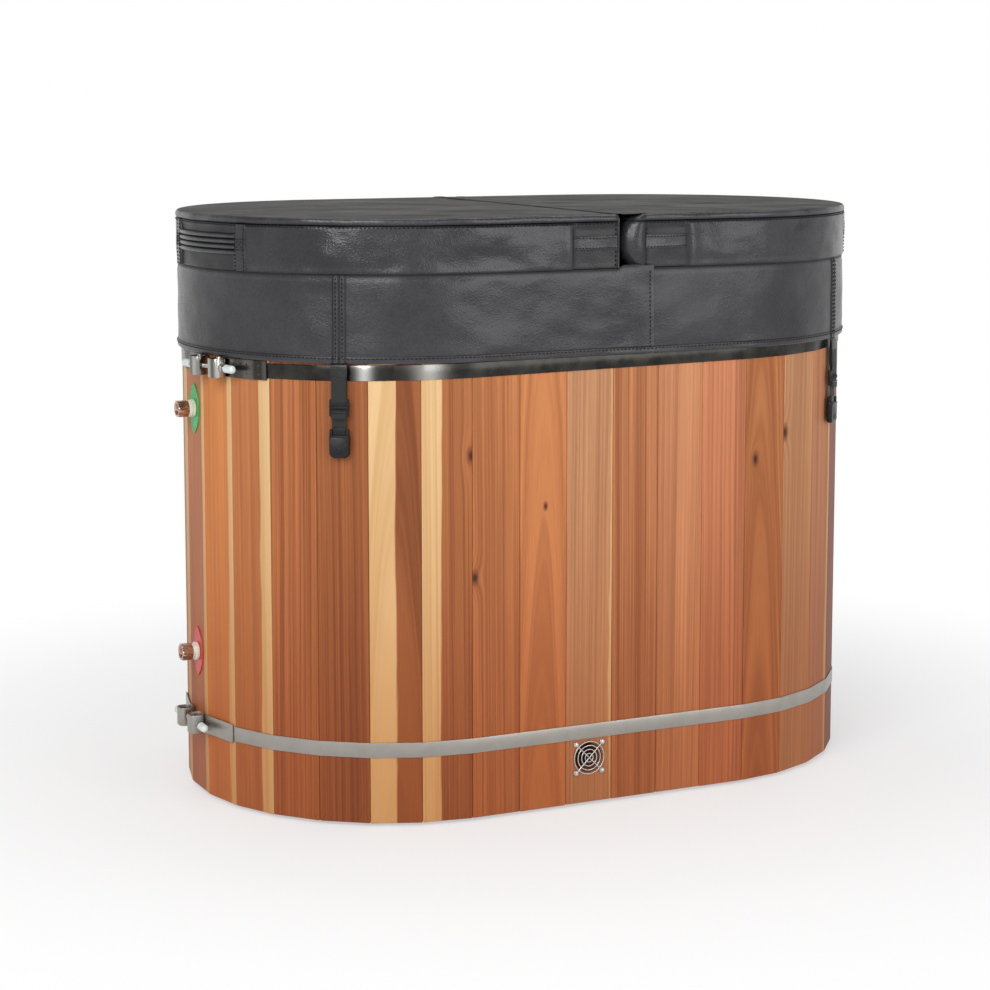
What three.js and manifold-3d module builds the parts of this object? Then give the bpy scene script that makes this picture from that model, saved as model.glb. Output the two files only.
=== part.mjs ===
// Oval cedar plunge tub: hooped staves round a crozed floor, two plumbing ports, a wire vent guard
// and a folding insulated cover with skirts, straps and key locks.
// Millimetres, +Z up. X runs along the tub, the front faces -Y, and the plumbing end is -X.
// The origin is on the ground, under the middle of the centre runner.
import * as THREE from "three";
import { mergeVertices } from "three/addons/utils/BufferGeometryUtils.js";
import Module from "manifold-3d";

// Clearances
const GAP = 0.3; // between pieces that touch
const HALF_GAP = GAP / 2;
const TURN_GAP = 0.5; // round a rod in its eye, and a tongue in its lock

// Tub plan: a stadium through the outer edges of the staves
const FLAT_HALF = 250;
const END_RADIUS = 370;
const STAVE_PAIRS = 19;
const STAVE_COUNT = 2 * STAVE_PAIRS;

// Staves
const STAVE_HEIGHT = 914;
const STAVE_THICK = 38;
const STAVE_LIFT = 6; // the staves hang clear of the ground
const STAVE_TOP = STAVE_LIFT + STAVE_HEIGHT;
const EASE = 2; // chamfer beside each joint
const BEAD_RADIUS = 6;
const BEAD_STEPS = 4;

// Floor and runners
const FLOOR_THICK = 32;
const FLOOR_LOW = 117;
const CROZE_DEPTH = 11;
const RUNNER_WIDTH = 42;
const RUNNER_SPACING = 200;
const RUNNER_END_GAP = 12;
const RUNNER_CHAMFER = 4;

// Hoops and their clamps
const HOOP_WIDTH = 25.4;
const HOOP_THICK = 1.3;
const LOWER_HOOP_Z = 131.5;
const UPPER_HOOP_DROP = 152.5; // below the top of the staves
const UPPER_HOOP_Z = STAVE_TOP - UPPER_HOOP_DROP;
const HOOP_MOUTH = 44; // open stretch between a hoop's two ends
const LOWER_CLAMP_TURN = 0; // along the wall from the plumbing end's middle, towards the front
const UPPER_CLAMP_TURN = 88;
const LOWER_HOOP_TILT = 0; // degrees down towards the plumbing end
const UPPER_HOOP_TILT = 0.7;
const LUG_THICK = 1.6;
const LUG_HEIGHT = 32;
const LUG_TAIL = 100;
const EYE_SIZE = 28;
const EYE_CORNER = 9;
const EYE_SPACING = 56;
const ROD_RADIUS = 4;
const ROD_TAIL = 24; // beyond each nut
const NUT_FLATS = 13;
const NUT_THICK = 6.5;
const CAP_RADIUS = 6.75;
const CAP_LENGTH = 24;
const CAP_DOME = 5;
const CAP_DEPTH = 19;

// Plumbing ports
const UPPER_PORT_DROP = 242; // below the top of the staves
const UPPER_PORT_Z = STAVE_TOP - UPPER_PORT_DROP;
const LOWER_PORT_Z = 252;
const TAG_HEIGHT = 88;
const TAG_WIDTH = 50;
const TAG_THICK = 2;
const STEM_RADIUS = 11;
const BUSH_BORE = 8.2;
const COLLAR_RADIUS = 15.5;
const COLLAR_THICK = 11;
const COLLAR_ROUND = 3;
const LOCKNUT_FLATS = 38;
const LOCKNUT_THICK = 10;
const ADAPTER_FLATS = 27;
const ADAPTER_LENGTH = 19;
const ADAPTER_CHAMFER = 2;
const ADAPTER_MOUTH = 9.5;
const ADAPTER_MOUTH_DEPTH = 14;
const SPIGOT_LENGTH = 24;
const SPIGOT_BORE = 6.2;

// Vent
const VENT_Z = 85;
const VENT_HOLE_RADIUS = 26;
const GUARD_RINGS = [28.5, 21.5, 14.5, 7.5];
const GUARD_WIRE = 1.1;
const GUARD_SCREW_SPACING = 50;
const GUARD_LOOP_RADIUS = 4;

// Cover
const COVER_CLEARANCE = 4; // wall to skirt
const VINYL = 2.5;
const LID_HEIGHT = 94;
const LID_EDGE = 7; // rounding of the top edge
const FOLD_X = 29;
const FOLD_GAP = 42;
const FOLD_CORNER = 9;
const ZIP_MARGIN = 16; // round the zipped mouth in each fold end
const FOLD_STRIP_WIDTH = 66;
const FOLD_STRIP_THICK = 1.6;
const SKIRT_DROP = 142;
const SKIRT_FLARE = 1.2;
const SKIRT_WAVE = 0.9;
const SKIRT_WAVES = 11; // round the whole hem
const LAP_LENGTH = 42; // the left skirt's flap, past the fold
const LAP_RAMP = 34;
const HANDLE_RISE = 47; // middle of a handle above the lid's lower edge
const HANDLE_THICK = 7;
const END_HANDLE_SPAN = 200;
const END_HANDLE_SHIFT = 68; // from the end's middle, towards the front
const END_HANDLE_HEIGHT = 36;
const END_HANDLE_RIBS = 4;
const RIB_DEPTH = 2.5;
const FOLD_HANDLE_LENGTH = 78;
const FOLD_HANDLE_HEIGHT = 23;
const FOLD_HANDLE_THICK = 4;

// Straps and locks
const LEFT_STRAP_TURN = 36; // degrees round the end, from where the straight wall stops
const RIGHT_STRAP_TURN = 39.65;
const STRAP_GAP = 0.9; // hem to the strap's rolled end, room for its swing
const STRAP_OUT = 0.7; // middle of the strap, outside the skirt's face
const STRAP_WIDTH = 25;
const STRAP_THICK = 2;
const STRAP_LENGTH = 105;
const ADJUSTER_DROP = 70;
const ADJUSTER_WIDTH = 33;
const ADJUSTER_HEIGHT = 28;
const ADJUSTER_THICK = 8;
const ADJUSTER_BAR = 4;
const TONGUE_WIDTH = 22;
const TONGUE_THICK = 5;
const TONGUE_LENGTH = 26;
const LOCK_WIDTH = 34;
const LOCK_HEIGHT = 47;
const LOCK_THICK = 11;
const LOCK_CORNER = 9;

// Facet counts
const END_STEPS = 24;
const CORNER_STEPS = 4;
const ROUND_STEPS = 20;
const ROD_STEPS = 12;
const WIRE_STEPS = 5;
const RING_STEPS = 20;

const wasm = await Module();
wasm.setup();

// Finishes
const finish = (color, roughness, metalness) =>
  new THREE.MeshStandardMaterial({ color, roughness, metalness });
const cedar = finish(0xb4703f, 0.6, 0);
const stainless = finish(0xb9b7b0, 0.35, 1);
const vinyl = finish(0x48484b, 0.5, 0);
const foamWhite = finish(0xe8e6df, 0.9, 0);
const webbing = finish(0x1e1e1f, 0.8, 0);
const blackPlastic = finish(0x1b1b1c, 0.45, 0);
const nylon = finish(0xe4dfcf, 0.5, 0);
const capWhite = finish(0xe6e8e4, 0.45, 0);
const tagGreen = finish(0x21aa4b, 0.4, 0);
const tagRed = finish(0xcd3228, 0.4, 0);
const bronze = finish(0xb07c62, 0.35, 1);

// Solids: a closed geometry with merged corners, its faces turned outwards
const MERGE_DISTANCE = 1e-4;

function solid(geometry) {
  const loose = geometry.index ? geometry.toNonIndexed() : geometry;
  const bare = new THREE.BufferGeometry().setAttribute("position", loose.getAttribute("position"));
  const merged = mergeVertices(bare, MERGE_DISTANCE);
  const corners = merged.getAttribute("position");
  const faces = [];
  const corner = [new THREE.Vector3(), new THREE.Vector3(), new THREE.Vector3()];
  let volume = 0;
  for (let i = 0; i < merged.index.count; i += 3) {
    const face = [0, 1, 2].map((j) => merged.index.getX(i + j));
    if (new Set(face).size < 3) continue;
    faces.push(face);
    face.forEach((index, j) => corner[j].fromBufferAttribute(corners, index));
    volume += corner[0].dot(corner[1].clone().cross(corner[2]));
  }
  if (volume < 0) faces.forEach((face) => face.reverse());
  const mesh = new wasm.Mesh({
    numProp: 3,
    vertProperties: new Float32Array(corners.array),
    triVerts: new Uint32Array(faces.flat()),
  });
  return new wasm.Manifold(mesh);
}

function geometryOf(body) {
  const mesh = body.getMesh();
  const geometry = new THREE.BufferGeometry();
  geometry.setAttribute("position", new THREE.BufferAttribute(mesh.vertProperties, 3));
  geometry.setIndex(new THREE.BufferAttribute(mesh.triVerts, 1));
  geometry.computeVertexNormals();
  return geometry;
}

const join = (first, ...others) => others.reduce((whole, other) => whole.add(other), first);
const cut = (first, ...others) => others.reduce((whole, other) => whole.subtract(other), first);

function piece(group, name, body, material) {
  const mesh = new THREE.Mesh(geometryOf(body), material);
  mesh.name = name;
  group.add(mesh);
}

// Basic forms
const leftTurning = (points) => (THREE.ShapeUtils.isClockWise(points) ? [...points].reverse() : points);
const shapeOf = (points) => new THREE.Shape(leftTurning(points));

// A plan outline raised from low to high, with an optional hole.
function slab(points, low, high, hole) {
  const shape = shapeOf(points);
  if (hole) shape.holes.push(new THREE.Path(hole));
  const geometry = new THREE.ExtrudeGeometry(shape, { depth: high - low, bevelEnabled: false });
  return solid(geometry.translate(0, 0, low));
}

// Points on an arc from one angle to another, both ends included.
function arc(cx, cy, radius, from, to, steps) {
  return Array.from({ length: steps + 1 }, (_, i) => {
    const angle = from + ((to - from) * i) / steps;
    return new THREE.Vector2(cx + radius * Math.cos(angle), cy + radius * Math.sin(angle));
  });
}

function roundedRectangle(width, height, radius, cx = 0, cy = 0) {
  const x = width / 2 - radius;
  const y = height / 2 - radius;
  const quarter = Math.PI / 2;
  return [
    ...arc(cx + x, cy + y, radius, 0, quarter, CORNER_STEPS),
    ...arc(cx - x, cy + y, radius, quarter, 2 * quarter, CORNER_STEPS),
    ...arc(cx - x, cy - y, radius, 2 * quarter, 3 * quarter, CORNER_STEPS),
    ...arc(cx + x, cy - y, radius, 3 * quarter, 4 * quarter, CORNER_STEPS),
  ];
}

function hexagon(flats) {
  return arc(0, 0, flats / Math.sqrt(3), 0, (5 / 3) * Math.PI, 5);
}

function box(width, depth, height, x, y, z) {
  return solid(new THREE.BoxGeometry(width, depth, height).translate(x, y, z));
}

// Turned about local Y. A profile point is a radius and a distance outwards, along -Y.
function turned(profile, steps = ROUND_STEPS) {
  const points = profile.map(([radius, outwards]) => new THREE.Vector2(radius, -outwards));
  return solid(new THREE.LatheGeometry(points, steps));
}

// A drawing in local X and Z, given a thickness from the distance "near" to "far" outwards, along -Y.
function plate(points, near, far, hole) {
  const shape = shapeOf(points);
  if (hole) shape.holes.push(new THREE.Path(hole));
  const geometry = new THREE.ExtrudeGeometry(shape, { depth: far - near, bevelEnabled: false });
  return solid(geometry.rotateX(Math.PI / 2).translate(0, -near, 0));
}

// Stacked outlines with the same number of points, each at its own height, closed at both ends.
function stacked(outlines) {
  const levels = outlines.map(({ points, z }) => ({ points: leftTurning(points), z }));
  const count = levels[0].points.length;
  const positions = [];
  const vertex = (level, i) => {
    const point = levels[level].points[i % count];
    positions.push(point.x, point.y, levels[level].z);
  };
  for (let level = 0; level + 1 < levels.length; level++) {
    for (let i = 0; i < count; i++) {
      vertex(level, i);
      vertex(level, i + 1);
      vertex(level + 1, i + 1);
      vertex(level, i);
      vertex(level + 1, i + 1);
      vertex(level + 1, i);
    }
  }
  const top = levels.length - 1;
  THREE.ShapeUtils.triangulateShape(levels[0].points, []).forEach(([a, b, c]) => {
    [c, b, a].forEach((i) => vertex(0, i));
  });
  THREE.ShapeUtils.triangulateShape(levels[top].points, []).forEach((face) => {
    face.forEach((i) => vertex(top, i));
  });
  const geometry = new THREE.BufferGeometry();
  geometry.setAttribute("position", new THREE.Float32BufferAttribute(positions, 3));
  return solid(geometry);
}

// The wall's outline: distance along it runs from the front's middle, by the +X end, to the back
const QUARTER = FLAT_HALF + (Math.PI / 2) * END_RADIUS;
const PERIMETER = 4 * QUARTER;
const PITCH = PERIMETER / STAVE_COUNT;

function wallPoint(along, offset = 0) {
  const wrapped = ((along % PERIMETER) + PERIMETER) % PERIMETER;
  const back = wrapped > QUARTER && wrapped <= 3 * QUARTER;
  const local = back ? wrapped - 2 * QUARTER : wrapped > QUARTER ? wrapped - PERIMETER : wrapped;
  const turn = Math.sign(local) * Math.max(0, Math.abs(local) - FLAT_HALF) / END_RADIUS;
  const flat = Math.sign(local) * Math.min(Math.abs(local), FLAT_HALF);
  const reach = END_RADIUS + offset;
  const side = back ? -1 : 1;
  return {
    point: new THREE.Vector2(side * (flat + reach * Math.sin(turn)), -side * reach * Math.cos(turn)),
    angle: turn + (back ? Math.PI : 0),
  };
}

// Stave joints stand on the outline, and the faces between them are flat.
const jointPoint = (joint) => wallPoint(joint * PITCH).point;

function faceNormal(stave) {
  const run = jointPoint(stave + 1).sub(jointPoint(stave)).normalize();
  return new THREE.Vector2(run.y, -run.x);
}

function offsetJoint(joint, offset) {
  const before = faceNormal(joint - 1);
  const after = faceNormal(joint);
  const mitre = before.clone().add(after).divideScalar(1 + before.dot(after));
  return jointPoint(joint).addScaledVector(mitre, offset);
}

// A point on the flat faces: a stave number with a fraction, and a distance outwards.
function facePoint(stave, offset) {
  const whole = Math.floor(stave);
  return offsetJoint(whole, offset).lerp(offsetJoint(whole + 1, offset), stave - whole);
}

function faceFrame(stave, offset) {
  const normal = faceNormal(Math.floor(stave));
  return {
    point: facePoint(stave, offset),
    normal,
    run: new THREE.Vector2(-normal.y, normal.x),
    angle: Math.atan2(normal.x, -normal.y),
  };
}

// Points of the faceted outline between two stave numbers.
function faceLine(from, to, offset) {
  const points = [facePoint(from, offset)];
  for (let joint = Math.floor(from) + 1; joint < to; joint++) points.push(offsetJoint(joint, offset));
  points.push(facePoint(to, offset));
  return points;
}

const faceRing = (offset) => Array.from({ length: STAVE_COUNT }, (_, joint) => offsetJoint(joint, offset));

// A strip bent round the faces.
const faceStrip = (from, to, inside, outside, low, high) =>
  slab([...faceLine(from, to, outside), ...faceLine(from, to, inside).reverse()], low, high);

// A group whose local -Y points outwards at a place on the wall.
function wallGroup(place, z) {
  const group = new THREE.Group();
  group.position.set(place.point.x, place.point.y, z);
  group.rotation.z = place.angle;
  tub.add(group);
  return group;
}

const PORT_STAVE = Math.floor((3 * STAVE_COUNT) / 4) + 0.5;
const VENT_STAVE = STAVE_COUNT - 0.5;
const tub = new THREE.Group();

// Staves: two to a solid, a cove along the first edge and a bead along the last
const inPitch = (length) => length / PITCH;

function edgeArc(joint, radius, limit) {
  const { point, normal, run } = faceFrame(joint - inPitch(HALF_GAP), -STAVE_THICK / 2);
  return arc(0, 0, radius, limit, -limit, BEAD_STEPS).map((p) =>
    point.clone().addScaledVector(run, p.x).addScaledVector(normal, p.y),
  );
}

function staveSection(first) {
  const start = first + inPitch(HALF_GAP);
  const end = first + 2 - inPitch(HALF_GAP);
  const middle = first + 1;
  const ease = inPitch(EASE);
  const coveRadius = BEAD_RADIUS + GAP;
  const coveLimit = Math.acos(GAP / coveRadius);
  return [
    facePoint(start, -EASE),
    facePoint(start + ease, 0),
    facePoint(middle - ease, 0),
    facePoint(middle, -EASE),
    facePoint(middle + ease, 0),
    facePoint(end - ease, 0),
    facePoint(end, -EASE),
    ...edgeArc(first + 2, BEAD_RADIUS, Math.PI / 2),
    facePoint(end, -STAVE_THICK),
    facePoint(middle, -STAVE_THICK),
    facePoint(start, -STAVE_THICK),
    ...edgeArc(first, coveRadius, coveLimit).reverse(),
  ];
}

// A round hole through the wall, square to one stave's face.
function wallHole(stave, z, radius) {
  const { point, angle } = faceFrame(stave, -STAVE_THICK / 2);
  const drill = new THREE.CylinderGeometry(radius, radius, 2 * STAVE_THICK, ROUND_STEPS);
  return solid(drill.rotateZ(angle).translate(point.x, point.y, z));
}

const FLOOR_OFFSET = CROZE_DEPTH - STAVE_THICK;
const croze = slab(faceRing(FLOOR_OFFSET), FLOOR_LOW - GAP, FLOOR_LOW + FLOOR_THICK + GAP);
const holes = [
  { stave: PORT_STAVE, body: wallHole(PORT_STAVE, UPPER_PORT_Z, STEM_RADIUS + GAP) },
  { stave: PORT_STAVE, body: wallHole(PORT_STAVE, LOWER_PORT_Z, STEM_RADIUS + GAP) },
  { stave: VENT_STAVE, body: wallHole(VENT_STAVE, VENT_Z, VENT_HOLE_RADIUS) },
];

for (let pair = 0; pair < STAVE_PAIRS; pair++) {
  const first = 2 * pair;
  const drilled = holes.filter(({ stave }) => stave > first && stave < first + 2);
  const blank = slab(staveSection(first), STAVE_LIFT, STAVE_TOP);
  const staves = cut(blank, croze, ...drilled.map(({ body }) => body));
  piece(tub, `stave_pair_${String(pair + 1).padStart(2, "0")}`, staves, cedar);
}

// Floor in the croze, on three runners
piece(tub, "floor", slab(faceRing(FLOOR_OFFSET - GAP), FLOOR_LOW, FLOOR_LOW + FLOOR_THICK), cedar);

function runner(y) {
  const inside = END_RADIUS - STAVE_THICK - RUNNER_END_GAP;
  const reach = FLAT_HALF + Math.sqrt(inside ** 2 - (Math.abs(y) + RUNNER_WIDTH / 2) ** 2);
  const half = RUNNER_WIDTH / 2;
  const top = FLOOR_LOW - GAP;
  const section = [
    new THREE.Vector2(half - RUNNER_CHAMFER, 0),
    new THREE.Vector2(half, RUNNER_CHAMFER),
    new THREE.Vector2(half, top),
    new THREE.Vector2(-half, top),
    new THREE.Vector2(-half, RUNNER_CHAMFER),
    new THREE.Vector2(RUNNER_CHAMFER - half, 0),
  ];
  const settings = { depth: 2 * reach, bevelEnabled: false };
  const beam = new THREE.ExtrudeGeometry(shapeOf(section), settings);
  beam.rotateX(Math.PI / 2).rotateZ(Math.PI / 2);
  return solid(beam.translate(-reach, y, 0));
}

piece(tub, "runner_front", runner(-RUNNER_SPACING), cedar);
piece(tub, "runner_centre", runner(0), cedar);
piece(tub, "runner_back", runner(RUNNER_SPACING), cedar);

// Hoops, each drawn together by two rolled-eye lugs and a threaded rod
const HOOP_OUT = GAP + HOOP_THICK;
const TAIL_IN = HOOP_OUT + GAP;
const TAIL_OUT = TAIL_IN + LUG_THICK;
const PORT_ALONG = PORT_STAVE * PITCH;

function hoop(clampStave) {
  const half = inPitch(HOOP_MOUTH / 2);
  const end = clampStave + STAVE_COUNT - half;
  return faceStrip(clampStave + half, end, GAP, HOOP_OUT, -HOOP_WIDTH / 2, HOOP_WIDTH / 2);
}

const eyePlace = (clampStave, side) => faceFrame(clampStave + side * inPitch(EYE_SPACING / 2), TAIL_IN);

function eyeCentre(place) {
  return place.point.clone().addScaledVector(place.normal, EYE_SIZE / 2);
}

// The rod's middle, direction and the tilt of the eyes on it.
function rodLine(clampStave) {
  const first = eyePlace(clampStave, -1);
  const last = eyePlace(clampStave, 1);
  const line = eyeCentre(last).sub(eyeCentre(first));
  return {
    middle: eyeCentre(first).add(eyeCentre(last)).divideScalar(2),
    spacing: line.length(),
    angle: Math.atan2(line.y, line.x),
    tilt: Math.abs(first.angle - last.angle) / 2,
  };
}

function lug(clampStave, side) {
  const place = eyePlace(clampStave, side);
  const low = -LUG_HEIGHT / 2;
  const high = LUG_HEIGHT / 2;
  const inner = EYE_SIZE - 2 * LUG_THICK;
  const toWall = ({ x, y }) =>
    place.point.clone().addScaledVector(place.run, x).addScaledVector(place.normal, y);
  const rim = roundedRectangle(EYE_SIZE, EYE_SIZE, EYE_CORNER, 0, EYE_SIZE / 2).map(toWall);
  const hollow = roundedRectangle(inner, inner, EYE_CORNER - LUG_THICK, 0, EYE_SIZE / 2).map(toWall);
  const eye = slab(rim, low, high, hollow);
  const near = clampStave + side * inPitch(EYE_SPACING / 2);
  const far = near + side * inPitch(LUG_TAIL);
  const tail = faceStrip(Math.min(near, far), Math.max(near, far), TAIL_IN, TAIL_OUT, low, high);
  const line = rodLine(clampStave);
  const radius = ROD_RADIUS + TURN_GAP;
  const drill = new THREE.CylinderGeometry(radius, radius, 2 * (line.spacing + EYE_SIZE), ROD_STEPS);
  drill.rotateZ(line.angle - Math.PI / 2).translate(line.middle.x, line.middle.y, 0);
  return cut(join(eye, tail), solid(drill));
}

function hexNut(from) {
  const settings = { depth: NUT_THICK, bevelEnabled: false };
  const nut = new THREE.ExtrudeGeometry(shapeOf(hexagon(NUT_FLATS)), settings);
  return solid(nut.rotateY(Math.PI / 2).translate(from, 0, 0));
}

// Along local X: rod, a nut outside each eye, and a cap on each end.
function clampRod(level, name, clampStave) {
  const line = rodLine(clampStave);
  const seat = EYE_SIZE / 2 / Math.cos(line.tilt) + (NUT_FLATS / Math.sqrt(3)) * Math.tan(line.tilt) + GAP;
  const nutFrom = line.spacing / 2 + seat;
  const half = nutFrom + NUT_THICK + ROD_TAIL;
  const bar = new THREE.CylinderGeometry(ROD_RADIUS, ROD_RADIUS, 2 * half, ROD_STEPS);
  const rod = join(solid(bar.rotateZ(Math.PI / 2)), hexNut(nutFrom), hexNut(-nutFrom - NUT_THICK));
  const place = new THREE.Group();
  place.position.set(line.middle.x, line.middle.y, 0);
  place.rotation.z = line.angle;
  level.add(place);
  piece(place, `${name}_clamp_rod`, rod, stainless);
  const bore = ROD_RADIUS + GAP;
  const profile = [
    [0, CAP_LENGTH],
    ...arc(CAP_RADIUS - CAP_DOME, CAP_LENGTH - CAP_DOME, CAP_DOME, Math.PI / 2, 0, CORNER_STEPS).map(
      (p) => [p.x, p.y],
    ),
    [CAP_RADIUS, 0],
    [bore, 0],
    [bore, CAP_DEPTH],
    [0, CAP_DEPTH],
  ];
  for (const [end, side] of [["back", -1], ["front", 1]]) {
    const holder = new THREE.Group();
    holder.position.x = side * (half - CAP_DEPTH + GAP);
    holder.rotation.z = (side * Math.PI) / 2;
    place.add(holder);
    piece(holder, `${name}_rod_cap_${end}`, turned(profile, ROD_STEPS), capWhite);
  }
}

for (const [name, z, turn, tilt] of [
  ["lower", LOWER_HOOP_Z, LOWER_CLAMP_TURN, LOWER_HOOP_TILT],
  ["upper", UPPER_HOOP_Z, UPPER_CLAMP_TURN, UPPER_HOOP_TILT],
]) {
  const level = new THREE.Group();
  level.position.z = z;
  level.rotation.y = -THREE.MathUtils.degToRad(tilt);
  tub.add(level);
  const clampStave = inPitch(PORT_ALONG + turn);
  piece(level, `${name}_hoop`, hoop(clampStave), stainless);
  piece(level, `${name}_lug_back`, lug(clampStave, -1), stainless);
  piece(level, `${name}_lug_front`, lug(clampStave, 1), stainless);
  clampRod(level, name, clampStave);
}

// Ports: a leaf-shaped tag under a collared bush, a hexagon adapter outside and a locknut inside
function leaf() {
  const half = TAG_HEIGHT / 2;
  const radius = (half ** 2 + (TAG_WIDTH / 2) ** 2) / TAG_WIDTH;
  const reach = Math.asin(half / radius);
  const shift = radius - TAG_WIDTH / 2;
  const right = arc(-shift, 0, radius, -reach, reach, 2 * CORNER_STEPS);
  const left = arc(shift, 0, radius, Math.PI - reach, Math.PI + reach, 2 * CORNER_STEPS);
  return [...right, ...left.slice(1, -1)];
}

const circle = (radius) => arc(0, 0, radius, 0, 2 * Math.PI * (1 - 1 / ROUND_STEPS), ROUND_STEPS - 1);

function port(name, z, material) {
  const place = wallGroup(faceFrame(PORT_STAVE, 0), z);
  const tagOut = GAP + TAG_THICK;
  piece(place, `${name}_port_tag`, plate(leaf(), GAP, tagOut, circle(STEM_RADIUS + GAP)), material);
  const collarIn = tagOut + GAP;
  const collarOut = collarIn + COLLAR_THICK;
  const stemIn = -STAVE_THICK - GAP - LOCKNUT_THICK;
  const bush = [
    [BUSH_BORE, stemIn],
    [STEM_RADIUS, stemIn],
    [STEM_RADIUS, collarIn],
    [COLLAR_RADIUS, collarIn],
    [COLLAR_RADIUS, collarOut - COLLAR_ROUND],
    [COLLAR_RADIUS - COLLAR_ROUND, collarOut],
    [BUSH_BORE, collarOut],
    [BUSH_BORE, stemIn],
  ];
  piece(place, `${name}_port_bush`, turned(bush), nylon);
  const nutOut = -STAVE_THICK - GAP;
  const locknut = plate(hexagon(LOCKNUT_FLATS), nutOut - LOCKNUT_THICK, nutOut, circle(STEM_RADIUS + GAP));
  piece(place, `${name}_port_locknut`, locknut, nylon);
  const hexIn = collarOut + GAP;
  const hexOut = hexIn + ADAPTER_LENGTH;
  const tip = ADAPTER_FLATS / Math.sqrt(3);
  const trim = [
    [0, hexIn],
    [tip - ADAPTER_CHAMFER, hexIn],
    [tip, hexIn + ADAPTER_CHAMFER],
    [tip, hexOut - ADAPTER_CHAMFER],
    [tip - ADAPTER_CHAMFER, hexOut],
    [0, hexOut],
  ];
  const head = plate(hexagon(ADAPTER_FLATS), hexIn, hexOut).intersect(turned(trim));
  const spigotIn = hexIn - SPIGOT_LENGTH;
  const spigot = turned([
    [0, spigotIn],
    [BUSH_BORE - GAP, spigotIn],
    [BUSH_BORE - GAP, hexIn + ADAPTER_CHAMFER],
    [0, hexIn + ADAPTER_CHAMFER],
  ]);
  const mouthIn = hexOut - ADAPTER_MOUTH_DEPTH;
  const bore = turned([
    [0, spigotIn - GAP],
    [SPIGOT_BORE, spigotIn - GAP],
    [SPIGOT_BORE, mouthIn],
    [ADAPTER_MOUTH, mouthIn],
    [ADAPTER_MOUTH, hexOut + GAP],
    [0, hexOut + GAP],
  ]);
  piece(place, `${name}_port_adapter`, cut(join(head, spigot), bore), bronze);
}

port("upper", UPPER_PORT_Z, tagGreen);
port("lower", LOWER_PORT_Z, tagRed);

// Vent guard: four wire rings on two crossing wires that end in screw loops
function wireRing(radius, x, z, wire, steps) {
  const ring = new THREE.TorusGeometry(radius, wire, WIRE_STEPS, steps);
  return solid(ring.rotateX(Math.PI / 2).translate(x, -GAP - GUARD_WIRE, z));
}

function ventGuard() {
  const half = GUARD_SCREW_SPACING / 2;
  const reach = half * Math.SQRT2 - GUARD_LOOP_RADIUS;
  const parts = GUARD_RINGS.map((radius) => wireRing(radius, 0, 0, GUARD_WIRE, RING_STEPS));
  for (const side of [-1, 1]) {
    const bar = new THREE.CylinderGeometry(GUARD_WIRE, GUARD_WIRE, 2 * reach, WIRE_STEPS);
    bar.rotateZ((side * Math.PI) / 4).rotateX(Math.PI / 2);
    parts.push(solid(bar.translate(0, -GAP - GUARD_WIRE, 0)));
    for (const end of [-1, 1]) {
      parts.push(wireRing(GUARD_LOOP_RADIUS, side * half, end * half, GUARD_WIRE, ROD_STEPS));
    }
  }
  return join(...parts);
}

piece(wallGroup(faceFrame(VENT_STAVE, 0), VENT_Z), "vent_guard", ventGuard(), stainless);

// Cover: two foam boards in zipped jackets, joined by a fold strip, with skirts hung below
const LID_LOW = STAVE_TOP + GAP;
const LID_TOP = LID_LOW + LID_HEIGHT;
const COVER_OFFSET = COVER_CLEARANCE + VINYL;
const HANDLE_Z = LID_LOW + HANDLE_RISE;

// A half's outline, drawn in by a distance. Side -1 is the left half, 1 the right.
function lidOutline(side, inset) {
  const radius = END_RADIUS + COVER_OFFSET - inset;
  const corner = FOLD_CORNER - inset;
  const inner = side * FOLD_X + FOLD_GAP / 2 + FOLD_CORNER;
  const quarter = Math.PI / 2;
  const points = [
    ...arc(FLAT_HALF, 0, radius, -quarter, quarter, END_STEPS),
    ...arc(inner, radius - corner, corner, quarter, 2 * quarter, CORNER_STEPS),
    ...arc(inner, corner - radius, corner, 2 * quarter, 3 * quarter, CORNER_STEPS),
  ];
  return points.map(({ x, y }) => new THREE.Vector2(side * x, y));
}

// A lid-shaped block with a rounded top edge.
function lidBlock(side, inset) {
  const high = LID_TOP - inset;
  const edge = LID_EDGE - inset;
  const levels = [{ points: lidOutline(side, inset), z: LID_LOW + inset }];
  for (const { x, y } of arc(0, 0, edge, 0, Math.PI / 2, CORNER_STEPS)) {
    levels.push({ points: lidOutline(side, inset + edge - x), z: high - edge + y });
  }
  return stacked(levels);
}

// Upright sections, each a list of offsets and heights, joined along the wall and closed at both ends.
function alongWall(stations) {
  const rings = stations.map(({ along, section }) =>
    section.map(([offset, z]) => {
      const { point } = wallPoint(along, offset);
      return new THREE.Vector3(point.x, point.y, z);
    }),
  );
  const count = rings[0].length;
  const last = rings.length - 1;
  const positions = [];
  const face = (...points) => points.forEach(({ x, y, z }) => positions.push(x, y, z));
  for (let ring = 0; ring < last; ring++) {
    const next = rings[ring + 1];
    for (let i = 0; i < count; i++) {
      const j = (i + 1) % count;
      face(rings[ring][i], next[i], next[j]);
      face(rings[ring][i], next[j], rings[ring][j]);
    }
  }
  const capFaces = ({ section }) =>
    THREE.ShapeUtils.triangulateShape(section.map(([x, y]) => new THREE.Vector2(x, y)), []);
  capFaces(stations[0]).forEach(([a, b, c]) => face(rings[0][a], rings[0][b], rings[0][c]));
  capFaces(stations[last]).forEach(([a, b, c]) => face(rings[last][c], rings[last][b], rings[last][a]));
  const geometry = new THREE.BufferGeometry();
  geometry.setAttribute("position", new THREE.Float32BufferAttribute(positions, 3));
  return solid(geometry);
}

const steady = (from, to, steps, sectionAt) =>
  Array.from({ length: steps + 1 }, (_, i) => {
    const along = from + ((to - from) * i) / steps;
    return { along, section: sectionAt(along) };
  });

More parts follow.
